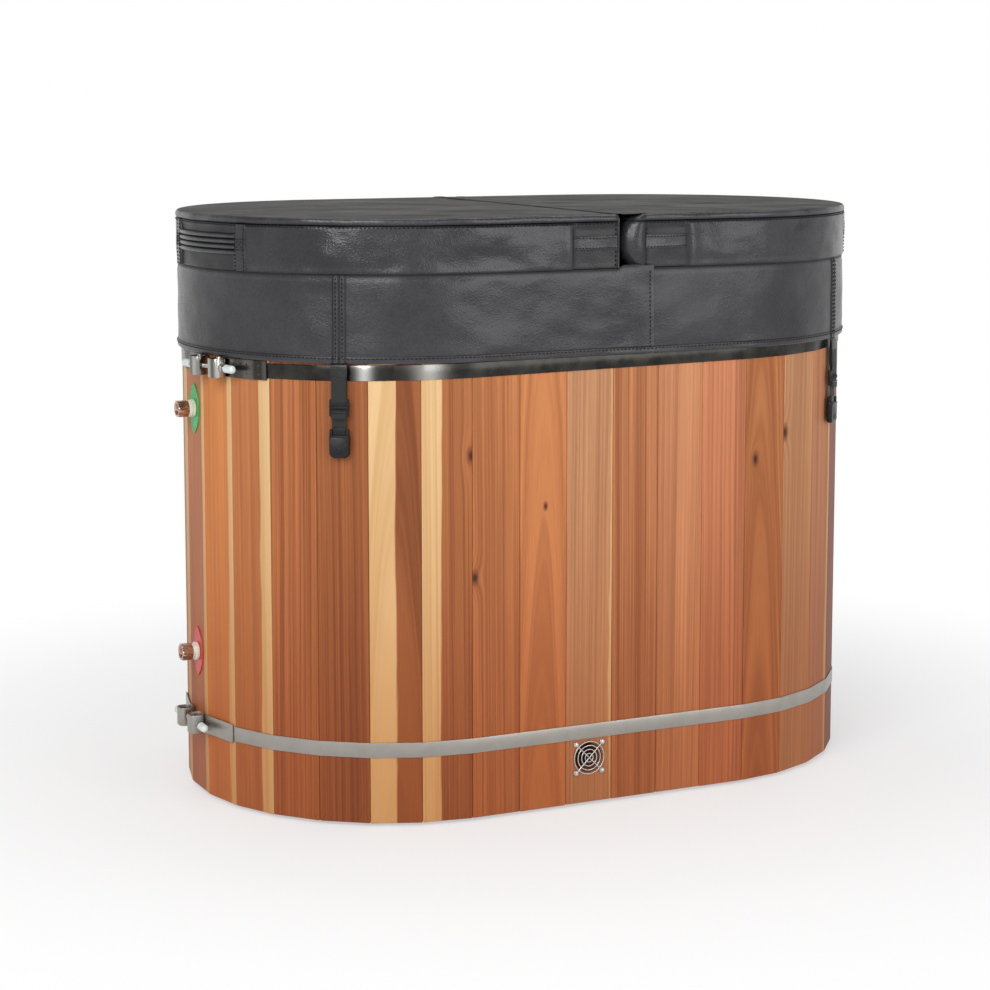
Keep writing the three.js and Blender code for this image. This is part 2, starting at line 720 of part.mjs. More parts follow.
// The padded grip on each end, with ribs along it.
function endHandle(middle) {
  const inner = COVER_OFFSET - VINYL / 2;
  const outer = COVER_OFFSET + HANDLE_THICK;
  const low = HANDLE_Z - END_HANDLE_HEIGHT / 2;
  const rib = END_HANDLE_HEIGHT / END_HANDLE_RIBS;
  const section = [[inner, low]];
  for (let i = 0; i < END_HANDLE_RIBS; i++) {
    section.push([outer - RIB_DEPTH, low + i * rib], [outer, low + (i + 0.5) * rib]);
  }
  section.push([outer - RIB_DEPTH, low + END_HANDLE_HEIGHT], [inner, low + END_HANDLE_HEIGHT]);
  const half = END_HANDLE_SPAN / 2;
  return alongWall(steady(middle - half, middle + half, 2 * CORNER_STEPS, () => section));
}

// The flat pulls beside the fold, on the front and on the back.
const FOLD_FLAT = FOLD_GAP / 2 + FOLD_CORNER;

function foldHandle(side, back) {
  const near = FOLD_X + side * FOLD_FLAT;
  const far = near + side * FOLD_HANDLE_LENGTH;
  const place = (x) => (back ? 2 * QUARTER - x : x);
  const ends = [place(near), place(far)].sort((a, b) => a - b);
  const inner = COVER_OFFSET - VINYL / 2;
  const outer = COVER_OFFSET + FOLD_HANDLE_THICK;
  const low = HANDLE_Z - FOLD_HANDLE_HEIGHT / 2;
  const section = [
    [inner, low],
    [outer, low],
    [outer, low + FOLD_HANDLE_HEIGHT],
    [inner, low + FOLD_HANDLE_HEIGHT],
  ];
  return alongWall(steady(ends[0], ends[1], 1, () => section));
}

function jacket(side) {
  const reach = 2 * (END_RADIUS + COVER_OFFSET - FOLD_CORNER - ZIP_MARGIN);
  const mouthHeight = LID_HEIGHT - 2 * ZIP_MARGIN;
  const end = FOLD_X + (side * FOLD_GAP) / 2;
  const mouth = box(4 * VINYL, reach, mouthHeight, end, 0, LID_LOW + LID_HEIGHT / 2);
  const shell = cut(lidBlock(side, 0), lidBlock(side, VINYL), mouth);
  const grip = endHandle(2 * QUARTER - side * (QUARTER + END_HANDLE_SHIFT));
  return join(shell, grip, foldHandle(side, false), foldHandle(side, true));
}

// Skirts: the wave and the flare grow towards the hem, and the left one laps over the right
const SKIRT_TOP = LID_LOW - GAP;
const HEM_Z = SKIRT_TOP - SKIRT_DROP;
const SKIRT_ROWS = 3;
const SKIRT_STEP = 42;
const LAP_LIFT = VINYL + 1;
const lapEnd = FOLD_X + LAP_LENGTH;
const rightStart = FOLD_X + FOLD_FLAT;

const hemOffset = (along) =>
  COVER_CLEARANCE + SKIRT_FLARE + SKIRT_WAVE * Math.sin((2 * Math.PI * SKIRT_WAVES * along) / PERIMETER);

function skirtSection(along, lift) {
  const inner = Array.from({ length: SKIRT_ROWS + 1 }, (_, row) => {
    const share = row / SKIRT_ROWS;
    const offset = hemOffset(along) + (COVER_CLEARANCE - hemOffset(along)) * share + lift;
    return [offset, HEM_Z + SKIRT_DROP * share];
  });
  const outer = inner.map(([offset, z]) => [offset + VINYL, z]);
  return [...outer, ...inner.reverse()];
}

// Sections stand at each stop along the wall, and at even steps between them.
function skirt(stops, liftAt) {
  const stations = stops.slice(1).flatMap((stop, i) => {
    const steps = Math.ceil((stop - stops[i]) / SKIRT_STEP);
    return steady(stops[i], stop, steps, (along) => skirtSection(along, liftAt(along))).slice(i ? 1 : 0);
  });
  return alongWall(stations);
}

// How far the left skirt stands out where it passes the fold: from none to a full lap.
function lapLift(along) {
  const pastMiddle = Math.abs(along - 3 * QUARTER) - QUARTER;
  return LAP_LIFT * THREE.MathUtils.smoothstep(pastMiddle, rightStart - LAP_RAMP, rightStart);
}

for (const [name, side] of [["left", -1], ["right", 1]]) {
  piece(tub, `lid_jacket_${name}`, jacket(side), vinyl);
  piece(tub, `lid_foam_${name}`, lidBlock(side, VINYL + GAP), foamWhite);
}

const rampStops = [lapEnd, rightStart, rightStart - LAP_RAMP];
const leftStops = [
  ...rampStops.map((x) => 2 * QUARTER - x),
  ...rampStops.map((x) => PERIMETER + x).reverse(),
];
piece(tub, "skirt_left", skirt(leftStops, lapLift), vinyl);
piece(tub, "skirt_right", skirt([rightStart, 2 * QUARTER - rightStart], () => 0), vinyl);

const stripReach = END_RADIUS + COVER_OFFSET - FOLD_CORNER;
const stripZ = LID_TOP + GAP + FOLD_STRIP_THICK / 2;
const strip = box(FOLD_STRIP_WIDTH, 2 * stripReach, FOLD_STRIP_THICK, FOLD_X, 0, stripZ);
piece(tub, "fold_strip", strip, vinyl);

// Straps: webbing sewn to the hem, a ladder adjuster and the tongue that a key lock takes
function strapBody() {
  const roll = new THREE.CylinderGeometry(STRAP_THICK / 2, STRAP_THICK / 2, STRAP_WIDTH, ROD_STEPS);
  const tape = box(STRAP_WIDTH, STRAP_THICK, STRAP_LENGTH, 0, 0, -STRAP_LENGTH / 2);
  const frame = plate(roundedRectangle(ADJUSTER_WIDTH, ADJUSTER_HEIGHT, ADJUSTER_BAR),
    -ADJUSTER_THICK / 2, ADJUSTER_THICK / 2);
  const slotHeight = (ADJUSTER_HEIGHT - 3 * ADJUSTER_BAR) / 2;
  const slotRise = (slotHeight + ADJUSTER_BAR) / 2;
  const slots = [-slotRise, slotRise].map((z) =>
    box(STRAP_WIDTH, 2 * ADJUSTER_THICK, slotHeight, 0, 0, z),
  );
  const adjuster = cut(frame, ...slots).translate([0, 0, -ADJUSTER_DROP]);
  const tongueHigh = -STRAP_LENGTH + STRAP_THICK;
  const tongue = box(TONGUE_WIDTH, TONGUE_THICK, TONGUE_LENGTH, 0, 0, tongueHigh - TONGUE_LENGTH / 2);
  return join(solid(roll.rotateZ(Math.PI / 2)), tape, adjuster, tongue);
}

const LOCK_TOP = -STRAP_LENGTH - TURN_GAP;
const strapAlong = (turn) => FLAT_HALF + END_RADIUS * THREE.MathUtils.degToRad(turn);
const LEFT_STRAP = strapAlong(LEFT_STRAP_TURN);
const RIGHT_STRAP = strapAlong(RIGHT_STRAP_TURN);

function lockBody() {
  const outline = roundedRectangle(LOCK_WIDTH, LOCK_HEIGHT, LOCK_CORNER, 0, LOCK_TOP - LOCK_HEIGHT / 2);
  const pocketWidth = TONGUE_WIDTH + 2 * TURN_GAP;
  const pocketThick = TONGUE_THICK + 2 * TURN_GAP;
  const pocketDepth = TONGUE_LENGTH + TURN_GAP;
  const pocket = box(pocketWidth, pocketThick, 2 * pocketDepth, 0, 0, LOCK_TOP);
  return cut(plate(outline, -LOCK_THICK / 2, LOCK_THICK / 2), pocket);
}

for (const [name, along] of [
  ["front_left", PERIMETER - LEFT_STRAP],
  ["front_right", RIGHT_STRAP],
  ["back_right", 2 * QUARTER - RIGHT_STRAP],
  ["back_left", 2 * QUARTER + LEFT_STRAP],
]) {
  const place = wallPoint(along, hemOffset(along) + VINYL + STRAP_OUT);
  const group = wallGroup(place, HEM_Z - STRAP_GAP - STRAP_THICK / 2);
  piece(group, `strap_${name}`, strapBody(), webbing);
  piece(group, `lock_${name}`, lockBody(), blackPlastic);
}

export default tub;
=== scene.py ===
"""Oval cedar plunge tub with steel hoops, plumbing ports and a folding vinyl cover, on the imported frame."""

import math
import random
from functools import partial

import bmesh
import bpy
from mathutils import Matrix, Vector, noise


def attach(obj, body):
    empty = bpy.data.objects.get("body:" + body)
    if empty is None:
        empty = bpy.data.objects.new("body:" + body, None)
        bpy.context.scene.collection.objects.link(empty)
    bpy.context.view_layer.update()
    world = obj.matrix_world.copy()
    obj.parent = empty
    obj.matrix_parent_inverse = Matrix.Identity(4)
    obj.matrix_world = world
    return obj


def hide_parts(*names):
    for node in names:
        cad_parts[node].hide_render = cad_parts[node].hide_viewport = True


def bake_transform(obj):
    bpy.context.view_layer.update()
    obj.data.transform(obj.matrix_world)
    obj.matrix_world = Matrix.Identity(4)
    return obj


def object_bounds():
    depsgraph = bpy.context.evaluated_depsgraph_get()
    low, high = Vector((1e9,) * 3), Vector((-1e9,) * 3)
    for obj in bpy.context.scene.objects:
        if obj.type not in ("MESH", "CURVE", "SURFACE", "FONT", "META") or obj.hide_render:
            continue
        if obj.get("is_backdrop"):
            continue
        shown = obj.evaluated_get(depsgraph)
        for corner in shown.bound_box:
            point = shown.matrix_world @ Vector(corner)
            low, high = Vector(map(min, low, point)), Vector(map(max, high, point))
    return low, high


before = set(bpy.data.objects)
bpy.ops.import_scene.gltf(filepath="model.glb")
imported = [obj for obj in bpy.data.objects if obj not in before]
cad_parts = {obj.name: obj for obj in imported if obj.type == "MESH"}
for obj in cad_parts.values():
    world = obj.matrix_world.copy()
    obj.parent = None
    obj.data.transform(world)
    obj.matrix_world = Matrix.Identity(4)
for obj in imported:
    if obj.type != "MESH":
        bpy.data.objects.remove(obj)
CAD_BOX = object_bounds()

# Tub wall, in metres: a stadium plan through the outer edges of the staves
FLAT_HALF = 0.250
END_RADIUS = 0.370
STAVES = 38
STAVE_LOW = 0.006
STAVE_TOP = 0.920
STAVE_THICK = 0.038
STAVE_CHAMFER = 0.0012
EASE = 0.002
EASE_STEPS = 4
BEAD_RADIUS = 0.006
BEAD_STEPS = 8
GAP = 0.0003
FLOOR_LOW = 0.117
FLOOR_HIGH = 0.149
CROZE_DEPTH = 0.011

# Hoops and their clamps
HOOP_WIDTH = 0.0254
HOOP_THICK = 0.0013
HOOP_MOUTH = 0.044
HOOP_LEVELS = {"lower": 0.1315, "upper": 0.7675}
HOOP_TILTS = {"lower": 0.0, "upper": math.radians(0.7)}
CLAMP_TURNS = {"lower": 0.0, "upper": 0.088}
LUG_THICK = 0.0016
LUG_HEIGHT = 0.032
LUG_TAIL = 0.100
EYE_SIZE = 0.028
EYE_CORNER = 0.009
EYE_SPACING = 0.056
ROD_RADIUS = 0.004
ROD_TAIL = 0.024
THREAD_PITCH = 0.00125
THREAD_DEPTH = 0.0005
NUT_FLATS = 0.013
NUT_THICK = 0.0065
CAP_RADIUS = 0.00675
CAP_LENGTH = 0.024
CAP_DEPTH = 0.019
CAP_DOME = 0.0055
WELD_RADIUS = 0.0024
WELD_SPACING = 0.013
WELD_START = 0.030
WELD_RISE = 0.0075
WELDS = 5

# Plumbing ports
PORT_LEVELS = {"upper": 0.678, "lower": 0.252}
TAG_HEIGHT = 0.088
TAG_WIDTH = 0.050
TAG_THICK = 0.002
STEM_RADIUS = 0.011
COLLAR_RADIUS = 0.0155
COLLAR_THICK = 0.011
BUSH_BORE = 0.0082
LOCKNUT_FLATS = 0.038
LOCKNUT_THICK = 0.010
ADAPTER_FLATS = 0.027
ADAPTER_LENGTH = 0.019
ADAPTER_CHAMFER = 0.002
ADAPTER_MOUTH = 0.0095
ADAPTER_MOUTH_DEPTH = 0.014
ADAPTER_BORE = 0.0062
SPIGOT_LENGTH = 0.024
MOUTH_TURNS = 7
MOUTH_PITCH = 0.0016
COLLAR_RIBS = {  # how far each ring is widened, and its rise
    "upper": [(0.0002, 0.0008), (0.0, 0.0030), (-0.0012, 0.0036), (-0.0013, 0.0044), (-0.0004, 0.0050),
              (-0.0004, 0.0072), (-0.0016, 0.0078), (-0.0017, 0.0086), (-0.0011, 0.0092),
              (-0.0018, COLLAR_THICK - 0.0008), (-0.0030, COLLAR_THICK)],
    "lower": [(0.0003, 0.0007), (0.0002, 0.0052), (-0.0008, 0.0062), (-0.0030, 0.0066),
              (-0.0034, COLLAR_THICK - 0.0010), (-0.0044, COLLAR_THICK)],
}

# Vent
VENT_LEVEL = 0.085
VENT_HOLE = 0.026
GUARD_RINGS = (0.0285, 0.0215, 0.0145, 0.0075)
GUARD_WIRE = 0.0011
GUARD_SCREWS = 0.050
GUARD_LOOP = 0.004

# Cover
COVER_CLEARANCE = 0.004
VINYL = 0.0025
COVER_OFFSET = COVER_CLEARANCE + VINYL
LID_LOW = 0.9203
LID_TOP = 1.0143
LID_EDGE = 0.0075
LID_ROLL = 0.0062
TOP_RINGS = (0.02, 0.05, 0.09, 0.14, 0.2, 0.28, 0.38, 0.5, 0.64, 0.8, 0.96)
STATION_PITCH = 0.0045
SPINE_START = 0.14
POCKET = 0.090
WELT_RADIUS = 0.0022
FOLD_X = 0.029
FOLD_GAP = 0.042
FOLD_CORNER = 0.009
FOLD_TURNS = 5
FOLD_STEPS = 90
FOLD_BULGES = {"left": 0.003, "right": 0.032}
CORE_INSET = 0.008
CORE_TRIM = 0.004
STRIP_THICK = 0.0016
STRIP_LAP = 0.012
SKIRT_TOP = 0.920
SKIRT_DROP = 0.142
SKIRT_FLARE = 0.0012
SKIRT_WAVE = 0.0009
SKIRT_WAVES = 11
SKIRT_PITCH = 0.0055
HEM_FOLD = 0.0118
HEM_ALLOWANCE = 0.024
SEAM_BAND = 0.0105
LAP_LENGTH = 0.042
LAP_RAMP = 0.034
LAP_LIFT = 0.0035
HANDLE_Z = 0.9673
GRIP_SHIFT = 0.061
GRIP_REACH = 0.0985
GRIP_HEIGHT = 0.036
GRIP_RIBS = 4
RIB_STEPS = 8
GRIP_BAND = 0.0125
GRIP_CROSS = 0.0088
PULL_LENGTH = 0.078
PULL_HEIGHT = 0.023

# Straps and locks
LEFT_STRAP_TURN = math.radians(36)
RIGHT_STRAP_TURN = math.radians(39.65)
STRAP_GAP = 0.0009
STRAP_OUT = 0.0007
STRAP_WIDTH = 0.025
STRAP_THICK = 0.002
STRAP_LENGTH = 0.105
ADJUSTER_DROP = 0.070
ADJUSTER_WIDTH = 0.033
ADJUSTER_HEIGHT = 0.028
ADJUSTER_THICK = 0.008
TONGUE_WIDTH = 0.022
TONGUE_THICK = 0.005
TONGUE_LENGTH = 0.026
LOCK_WIDTH = 0.034
LOCK_HEIGHT = 0.047
LOCK_THICK = 0.011
LOCK_CORNER = 0.009
LOCK_SHOULDER = 0.0085

# Measures that follow from these
QUARTER = FLAT_HALF + math.pi / 2 * END_RADIUS
SEAM_Z = LID_TOP - 0.0125
HEM_Z = SKIRT_TOP - SKIRT_DROP
FOLD_ENDS = {"left": FOLD_X - FOLD_GAP / 2, "right": FOLD_X + FOLD_GAP / 2}
FOLD_REACH = END_RADIUS + COVER_OFFSET - FOLD_CORNER
SIDES = {"left": -1, "right": 1}
LAP_END = FOLD_X + LAP_LENGTH
RIGHT_START = FOLD_ENDS["right"] + FOLD_CORNER
PERIMETER = 4 * QUARTER
PITCH = PERIMETER / STAVES
PORT_STAVE = 28.5
VENT_STAVE = 37.5
HOOP_OUT = GAP + HOOP_THICK
TAIL_IN = HOOP_OUT + GAP
LEFT_STRAP = FLAT_HALF + END_RADIUS * LEFT_STRAP_TURN
RIGHT_STRAP = FLAT_HALF + END_RADIUS * RIGHT_STRAP_TURN
STRAPS = {
    "front_left": PERIMETER - LEFT_STRAP,
    "front_right": RIGHT_STRAP,
    "back_right": 2 * QUARTER - RIGHT_STRAP,
    "back_left": 2 * QUARTER + LEFT_STRAP,
}


# Places on the wall
def wall(along, offset=0.0):
    """Point on the outline and the angle it faces; along runs from the front's middle by the +X end."""
    wrapped = along % PERIMETER
    back = QUARTER < wrapped <= 3 * QUARTER
    local = wrapped
    if back:
        local = wrapped - 2 * QUARTER
    elif wrapped > QUARTER:
        local = wrapped - PERIMETER
    turn = math.copysign(max(0.0, abs(local) - FLAT_HALF) / END_RADIUS, local)
    flat = max(-FLAT_HALF, min(FLAT_HALF, local))
    side = -1 if back else 1
    reach = END_RADIUS + offset
    point = Vector((side * (flat + reach * math.sin(turn)), -side * reach * math.cos(turn), 0))
    return point, turn + (math.pi if back else 0)


def wall_point(along, offset, z):
    return wall(along, offset)[0] + Vector((0, 0, z))


def wall_frame(along, offset, z):
    """Places a drawing on the wall: local X runs along it, -Y points outwards and Z is up."""
    point, angle = wall(along, offset)
    return Matrix.Translation((point.x, point.y, z)) @ Matrix.Rotation(angle, 4, "Z")


def joint_point(joint):
    return wall(joint * PITCH)[0]


def face_normal(stave):
    run = (joint_point(stave + 1) - joint_point(stave)).normalized()
    return Vector((run.y, -run.x, 0))


def offset_joint(joint, offset):
    before = face_normal(joint - 1)
    after = face_normal(joint)
    return joint_point(joint) + (before + after) * (offset / (1 + before.dot(after)))


def face_point(place, offset):
    """Point on the flat faces: a stave number with a fraction, and a distance outwards."""
    whole = math.floor(place)
    return offset_joint(whole, offset).lerp(offset_joint(whole + 1, offset), place - whole)


def face_angle(stave):
    normal = face_normal(stave)
    return math.atan2(normal.x, -normal.y)


def face_frame(place, offset, z):
    point = face_point(place, offset)
    turn = Matrix.Rotation(face_angle(math.floor(place)), 4, "Z")
    return Matrix.Translation((point.x, point.y, z)) @ turn


# Node trees
class Value:
    """A node's output, with arithmetic that adds math nodes."""

    def __init__(self, graph, socket):
        self.graph = graph
        self.socket = socket

    def __add__(self, other):
        return self.graph.math("ADD", self, other)

    def __sub__(self, other):
        return self.graph.math("SUBTRACT", self, other)

    def __mul__(self, other):
        return self.graph.math("MULTIPLY", self, other)

    def __truediv__(self, other):
        return self.graph.math("DIVIDE", self, other)


class Graph:
    """Adds nodes to a tree. An input is a plain value or another node's output."""

    def __init__(self, tree, shader=None):
        self.tree = tree
        self.shader = shader

    def feed(self, socket, value):
        if isinstance(value, Value):
            self.tree.links.new(value.socket, socket)
        else:
            socket.default_value = value

    def surface(self, **inputs):
        for label, value in inputs.items():
            self.feed(self.shader.inputs[label.replace("_", " ")], value)

    def node(self, kind, inputs=None, **settings):
        node = self.tree.nodes.new(kind)
        for key, value in settings.items():
            setattr(node, key, value)
        for key, value in (inputs or {}).items():
            self.feed(node.inputs[key], value)
        return node

    def add(self, kind, inputs=None, output=0, **settings):
        return Value(self, self.node(kind, inputs, **settings).outputs[output])

    def outputs(self, node):
        return {socket.name: Value(self, socket) for socket in node.outputs}

    def math(self, operation, *values):
        return self.add("ShaderNodeMath", dict(enumerate(values)), operation=operation)

    def split(self, vector):
        return self.outputs(self.node("ShaderNodeSeparateXYZ", {0: vector})).values()

    def combine(self, x, y, z):
        return self.add("ShaderNodeCombineXYZ", {0: x, 1: y, 2: z})

    def mix(self, share, first, second, blend="MIX"):
        inputs = {0: share, 6: first, 7: second}
        return self.add("ShaderNodeMix", inputs, 2, data_type="RGBA", blend_type=blend)

    def tint(self, color, tone):
        return self.mix(1.0, color, tone, "MULTIPLY")

    def noise(self, vector, scale=1.0, detail=2.0, roughness=0.5):
        inputs = {"Vector": vector, "Scale": scale, "Detail": detail, "Roughness": roughness}
        return self.add("ShaderNodeTexNoise", inputs, "Fac")

    def span(self, value, low, high, to_low=0.0, to_high=1.0, shape="SMOOTHSTEP"):
        inputs = {"Value": value, "From Min": low, "From Max": high, "To Min": to_low, "To Max": to_high}
        return self.add("ShaderNodeMapRange", inputs, interpolation_type=shape)

    def attribute(self, name, output="Vector"):
        return self.add("ShaderNodeAttribute", output=output, attribute_name=name)

    def place(self, output="Object"):
        return self.add("ShaderNodeTexCoord", output=output)

    def stretch(self, vector, scale):
        return self.add("ShaderNodeMapping", {"Vector": vector, "Scale": scale})

    def bump(self, height, distance, strength=1.0, **under):
        inputs = {"Height": height, "Distance": distance, "Strength": strength}
        return self.add("ShaderNodeBump", {**inputs, **under})

    def group(self, tree, **inputs):
        return self.outputs(self.node("ShaderNodeGroup", inputs, node_tree=tree))

    def seen_plain(self, end, lit, plain, share=1.0):
        """Rays that see a background meet the plain shader, and those that light the object the lit one."""
        path = self.outputs(self.node("ShaderNodeLightPath"))
        seen = self.math("MAXIMUM", path["Is Camera Ray"], path["Is Glossy Ray"])
        seen = self.math("MAXIMUM", seen, path["Is Transmission Ray"])
        inputs = {0: seen * share, 1: Value(self, lit.outputs[0]), 2: plain}
        self.feed(self.tree.nodes[end].inputs["Surface"], self.add("ShaderNodeMixShader", inputs))


def node_group(kind, name, inputs, make):
    """A node group. make adds its nodes and returns its outputs by name."""
    tree = bpy.data.node_groups.new(name, kind + "NodeTree")
    for label, socket in inputs.items():
        tree.interface.new_socket(label, in_out="INPUT", socket_type="NodeSocket" + socket)
    graph = Graph(tree)
    made = make(graph, graph.outputs(graph.node("NodeGroupInput")))
    for label in made:
        socket = "NodeSocketGeometry" if kind == "Geometry" else "NodeSocketFloat"
        tree.interface.new_socket(label, in_out="OUTPUT", socket_type=socket)
    graph.node("NodeGroupOutput", made)
    return tree


def srgb(red, green, blue):
    """Linear colour of an 8-bit display colour."""
    def linear(value):
        share = value / 255
        return share / 12.92 if share <= 0.04045 else ((share + 0.055) / 1.055) ** 2.4
    return (linear(red), linear(green), linear(blue), 1.0)


def dimmed(tone, share, lift=0.0):
    return (*[min(1.0, c * share + lift) for c in tone[:3]], 1.0)


def new_material(name, **inputs):
    material = bpy.data.materials.new(name)
    material.use_nodes = True
    graph = Graph(material.node_tree, material.node_tree.nodes["Principled BSDF"])
    graph.surface(**inputs)
    return material, graph


# Finishes
def cedar_figure(graph, given):
    """Growth rings, colour drift and fibre of a board. Place is across, through and along it, in metres."""
    across, through, along = graph.split(given["Place"])
    pith_across, pith_depth, seed = graph.split(given["Pith"])
    sway = given["Sway"]
    bend = graph.noise(graph.combine(seed, across * 5.0, along * 1.5)) - 0.5
    side = bend * sway + (across - pith_across)
    deep = through - pith_depth
    from_pith = graph.math("SQRT", side * side + deep * deep)
    ring_at = seed * 3.7 + (along * (sway * 0.7) + from_pith)
    fade = along * 0.8
    coarse = graph.noise(graph.combine(ring_at * 62.0, seed, fade), 1.0, 2.0, 0.6)
    lines = graph.noise(graph.combine(ring_at * 250.0, fade, seed), 1.0, 1.5, 0.6)
    fine = graph.noise(graph.combine(ring_at * 760.0, seed, along), 1.0, 1.0)
    drift = graph.noise(graph.combine(ring_at * 24.0, seed, along * 1.4), 1.0, 3.0)
    fibre_at = graph.stretch(graph.combine(across, seed, along), (1300.0, 1.0, 20.0))
    return {
        "Rings": graph.span(coarse * 0.30 + lines * 0.46 + fine * 0.24, 0.39, 0.63),
        "Drift": graph.span(drift, 0.3, 0.7),
        "Fibre": graph.noise(fibre_at, 1.0, 2.0, 0.6),
    }


def vinyl_grain(graph, given):
    """Pressed leather grain with specks, soft mottling, slack creases and broad dents."""
    place = given["Place"]
    grain = {"Vector": place, "Scale": 430.0}
    return {
        "Grain": graph.add("ShaderNodeTexVoronoi", grain, "Distance", feature="SMOOTH_F1"),
        "Speck": graph.noise(place, 230.0, 3.0, 0.7),
        "Mottle": graph.noise(place, 7.0, 4.0, 0.6),
        "Crease": graph.noise(graph.stretch(place, (1.0, 1.0, 1.7)), 24.0, 3.0),
        "Dent": graph.noise(graph.stretch(place, (1.0, 1.0, 1.5)), 9.0, 1.5, 0.45),
    }


def brushed_lines(graph, given):
    """Fine lines along a strip and blurred smudges. Place is along and across it, in metres."""
    drawn_out = graph.stretch(given["Place"], (14.0, 2600.0, 2600.0))
    return {
        "Lines": graph.noise(drawn_out, 1.0, 2.0, 0.6),
        "Smudge": graph.noise(given["Place"], 24.0, 3.0, 0.55),
    }


def moulded_skin(graph, given):
    """Fine moulded stipple and faint handling marks."""
    return {
        "Stipple": graph.noise(given["Place"], 1800.0, 1.0),
        "Marks": graph.noise(graph.stretch(given["Place"], (1.0, 1.0, 3.0)), 90.0, 3.0, 0.6),
    }


BOARD = {"Place": "Vector", "Pith": "Vector", "Sway": "Float"}
CEDAR_FIGURE = node_group("Shader", "Cedar Figure", BOARD, cedar_figure)
VINYL_GRAIN = node_group("Shader", "Vinyl Grain", {"Place": "Vector"}, vinyl_grain)
BRUSHED = node_group("Shader", "Brushed Lines", {"Place": "Vector"}, brushed_lines)
MOULDED = node_group("Shader", "Moulded Skin", {"Place": "Vector"}, moulded_skin)
SAPWOOD = srgb(222, 184, 132)
SAP_LINE = srgb(196, 146, 90)
KNOT_RIM = srgb(120, 62, 34)
KNOT_HEART = srgb(44, 20, 14)
PLANK_TONE = srgb(186, 116, 72)
PLANK_SEAM = srgb(58, 30, 18)
PLANK_WIDTH = 0.138
LATEWOOD = (0.60, 0.47, 0.38, 1.0)  # tints of a board's own tone
EARLYWOOD = (1.26, 1.30, 1.34, 1.0)
FOOT_TINT = (0.79, 0.62, 0.48, 1.0)
CROWN_TINT = (1.06, 1.12, 1.18, 1.0)
WHITE = (1.0, 1.0, 1.0, 1.0)
# Painted highlights on the upper hoop, standing in for reflections
PAINTED_GLINTS = ((0.278, 0.012, 1.0), (0.385, 0.022, 0.7))  # place, width and strength along the upper hoop
RIB_PITCH = 0.0016
CORD_PITCH = 0.0024


def cedar_surface(graph, figure, color):
    graph.surface(
        Base_Color=color,
        Roughness=graph.span(figure["Rings"], 0.0, 1.0, 0.62, 0.5, "LINEAR"),
        Normal=graph.bump(figure["Fibre"] * 0.7 + figure["Rings"], 0.00018, 0.8),
    )


def cedar_color(graph, figure, tone, contrast):
    """Latewood lines and drift laid over a board's own tone."""
    body = graph.mix(figure["Drift"] * 0.75, tone, graph.tint(tone, EARLYWOOD))
    lined = graph.mix(figure["Rings"] * contrast, body, graph.tint(tone, LATEWOOD))
    fibre = graph.span(figure["Fibre"], 0.25, 0.75, 0.90, 1.08, "LINEAR")
    return graph.tint(lined, graph.combine(fibre, fibre, fibre))


def stave_cedar():
    """Cedar whose tone, pith, sapwood edge and knot belong to each stave, deeper towards the foot."""
    material, graph = new_material("stave_cedar", Specular_IOR_Level=0.3)
    place = graph.attribute("board")
    across, _, along = graph.split(place)
    knot_across, knot_along, knot_size = graph.split(graph.attribute("knot"))
    wide = (across - knot_across) / knot_size
    tall = (along - knot_along) / (knot_size * 1.9)
    from_knot = wide * wide + tall * tall
    swirl = graph.math("EXPONENT", from_knot * -0.16)
    pushed = graph.combine(swirl * knot_size * 1.9, 0.0, 0.0)
    bent = graph.add("ShaderNodeVectorMath", {0: place, 1: pushed}, operation="ADD")
    sway, contrast, _ = graph.split(graph.attribute("figure"))
    figure = graph.group(CEDAR_FIGURE, Place=bent, Pith=graph.attribute("pith"), Sway=sway)
    color = cedar_color(graph, figure, graph.attribute("tone", "Color"), contrast)
    edge, side, strength = graph.split(graph.attribute("sap"))
    wander = graph.noise(graph.combine(across * 20.0, edge, along), 3.0, 3.0, 0.6)
    past = (wander - 0.5) * 0.016 + (across - edge) * side
    sap = graph.span(past, -0.0016, 0.0022) * strength
    color = graph.mix(sap, color, graph.mix(figure["Rings"] * 0.55, SAPWOOD, SAP_LINE))
    ragged = figure["Fibre"] * 0.8 + from_knot
    color = graph.mix(graph.span(ragged, 0.9, 3.4, 0.75, 0.0), color, KNOT_RIM)
    color = graph.mix(graph.span(ragged, 0.35, 1.25, 0.95, 0.0), color, KNOT_HEART)
    color = graph.tint(color, graph.mix(graph.span(along, 0.06, 0.62), FOOT_TINT, WHITE))
    color = graph.tint(color, graph.mix(graph.span(along, 0.50, 0.78), WHITE, CROWN_TINT))
    cedar_surface(graph, figure, color)
    return material


def plank_cedar():
    """Cedar of the floor and runners, grained along the tub."""
    material, graph = new_material("plank_cedar", Specular_IOR_Level=0.35)
    x, y, z = graph.split(graph.place())
    figure = graph.group(CEDAR_FIGURE, Place=graph.combine(y, z, x), Pith=(0.02, -0.3, 2.4), Sway=0.012)
    from_middle = graph.math("ABSOLUTE", graph.math("FRACT", y / PLANK_WIDTH) - 0.5)
    color = cedar_color(graph, figure, PLANK_TONE, 0.6)
    cedar_surface(graph, figure, graph.mix(graph.span(from_middle, 0.488, 0.496), color, PLANK_SEAM))
    return material


def strip_steel(name, color_at, dull, anisotropic=0.3, lines=0.00003):
    """Stainless strip, coloured by its length and smudges; dull is the roughness between the smudges."""
    material, graph = new_material(name, Metallic=1.0, Anisotropic=anisotropic)
    place = graph.attribute("strip")
    marks = graph.group(BRUSHED, Place=place)
    along, _, _ = graph.split(place)
    graph.surface(
        Base_Color=color_at(graph, along, marks["Smudge"]),
        Roughness=graph.span(marks["Smudge"], 0.3, 0.7, *dull),
        Normal=graph.bump(marks["Lines"], lines, 0.5),
    )
    return material


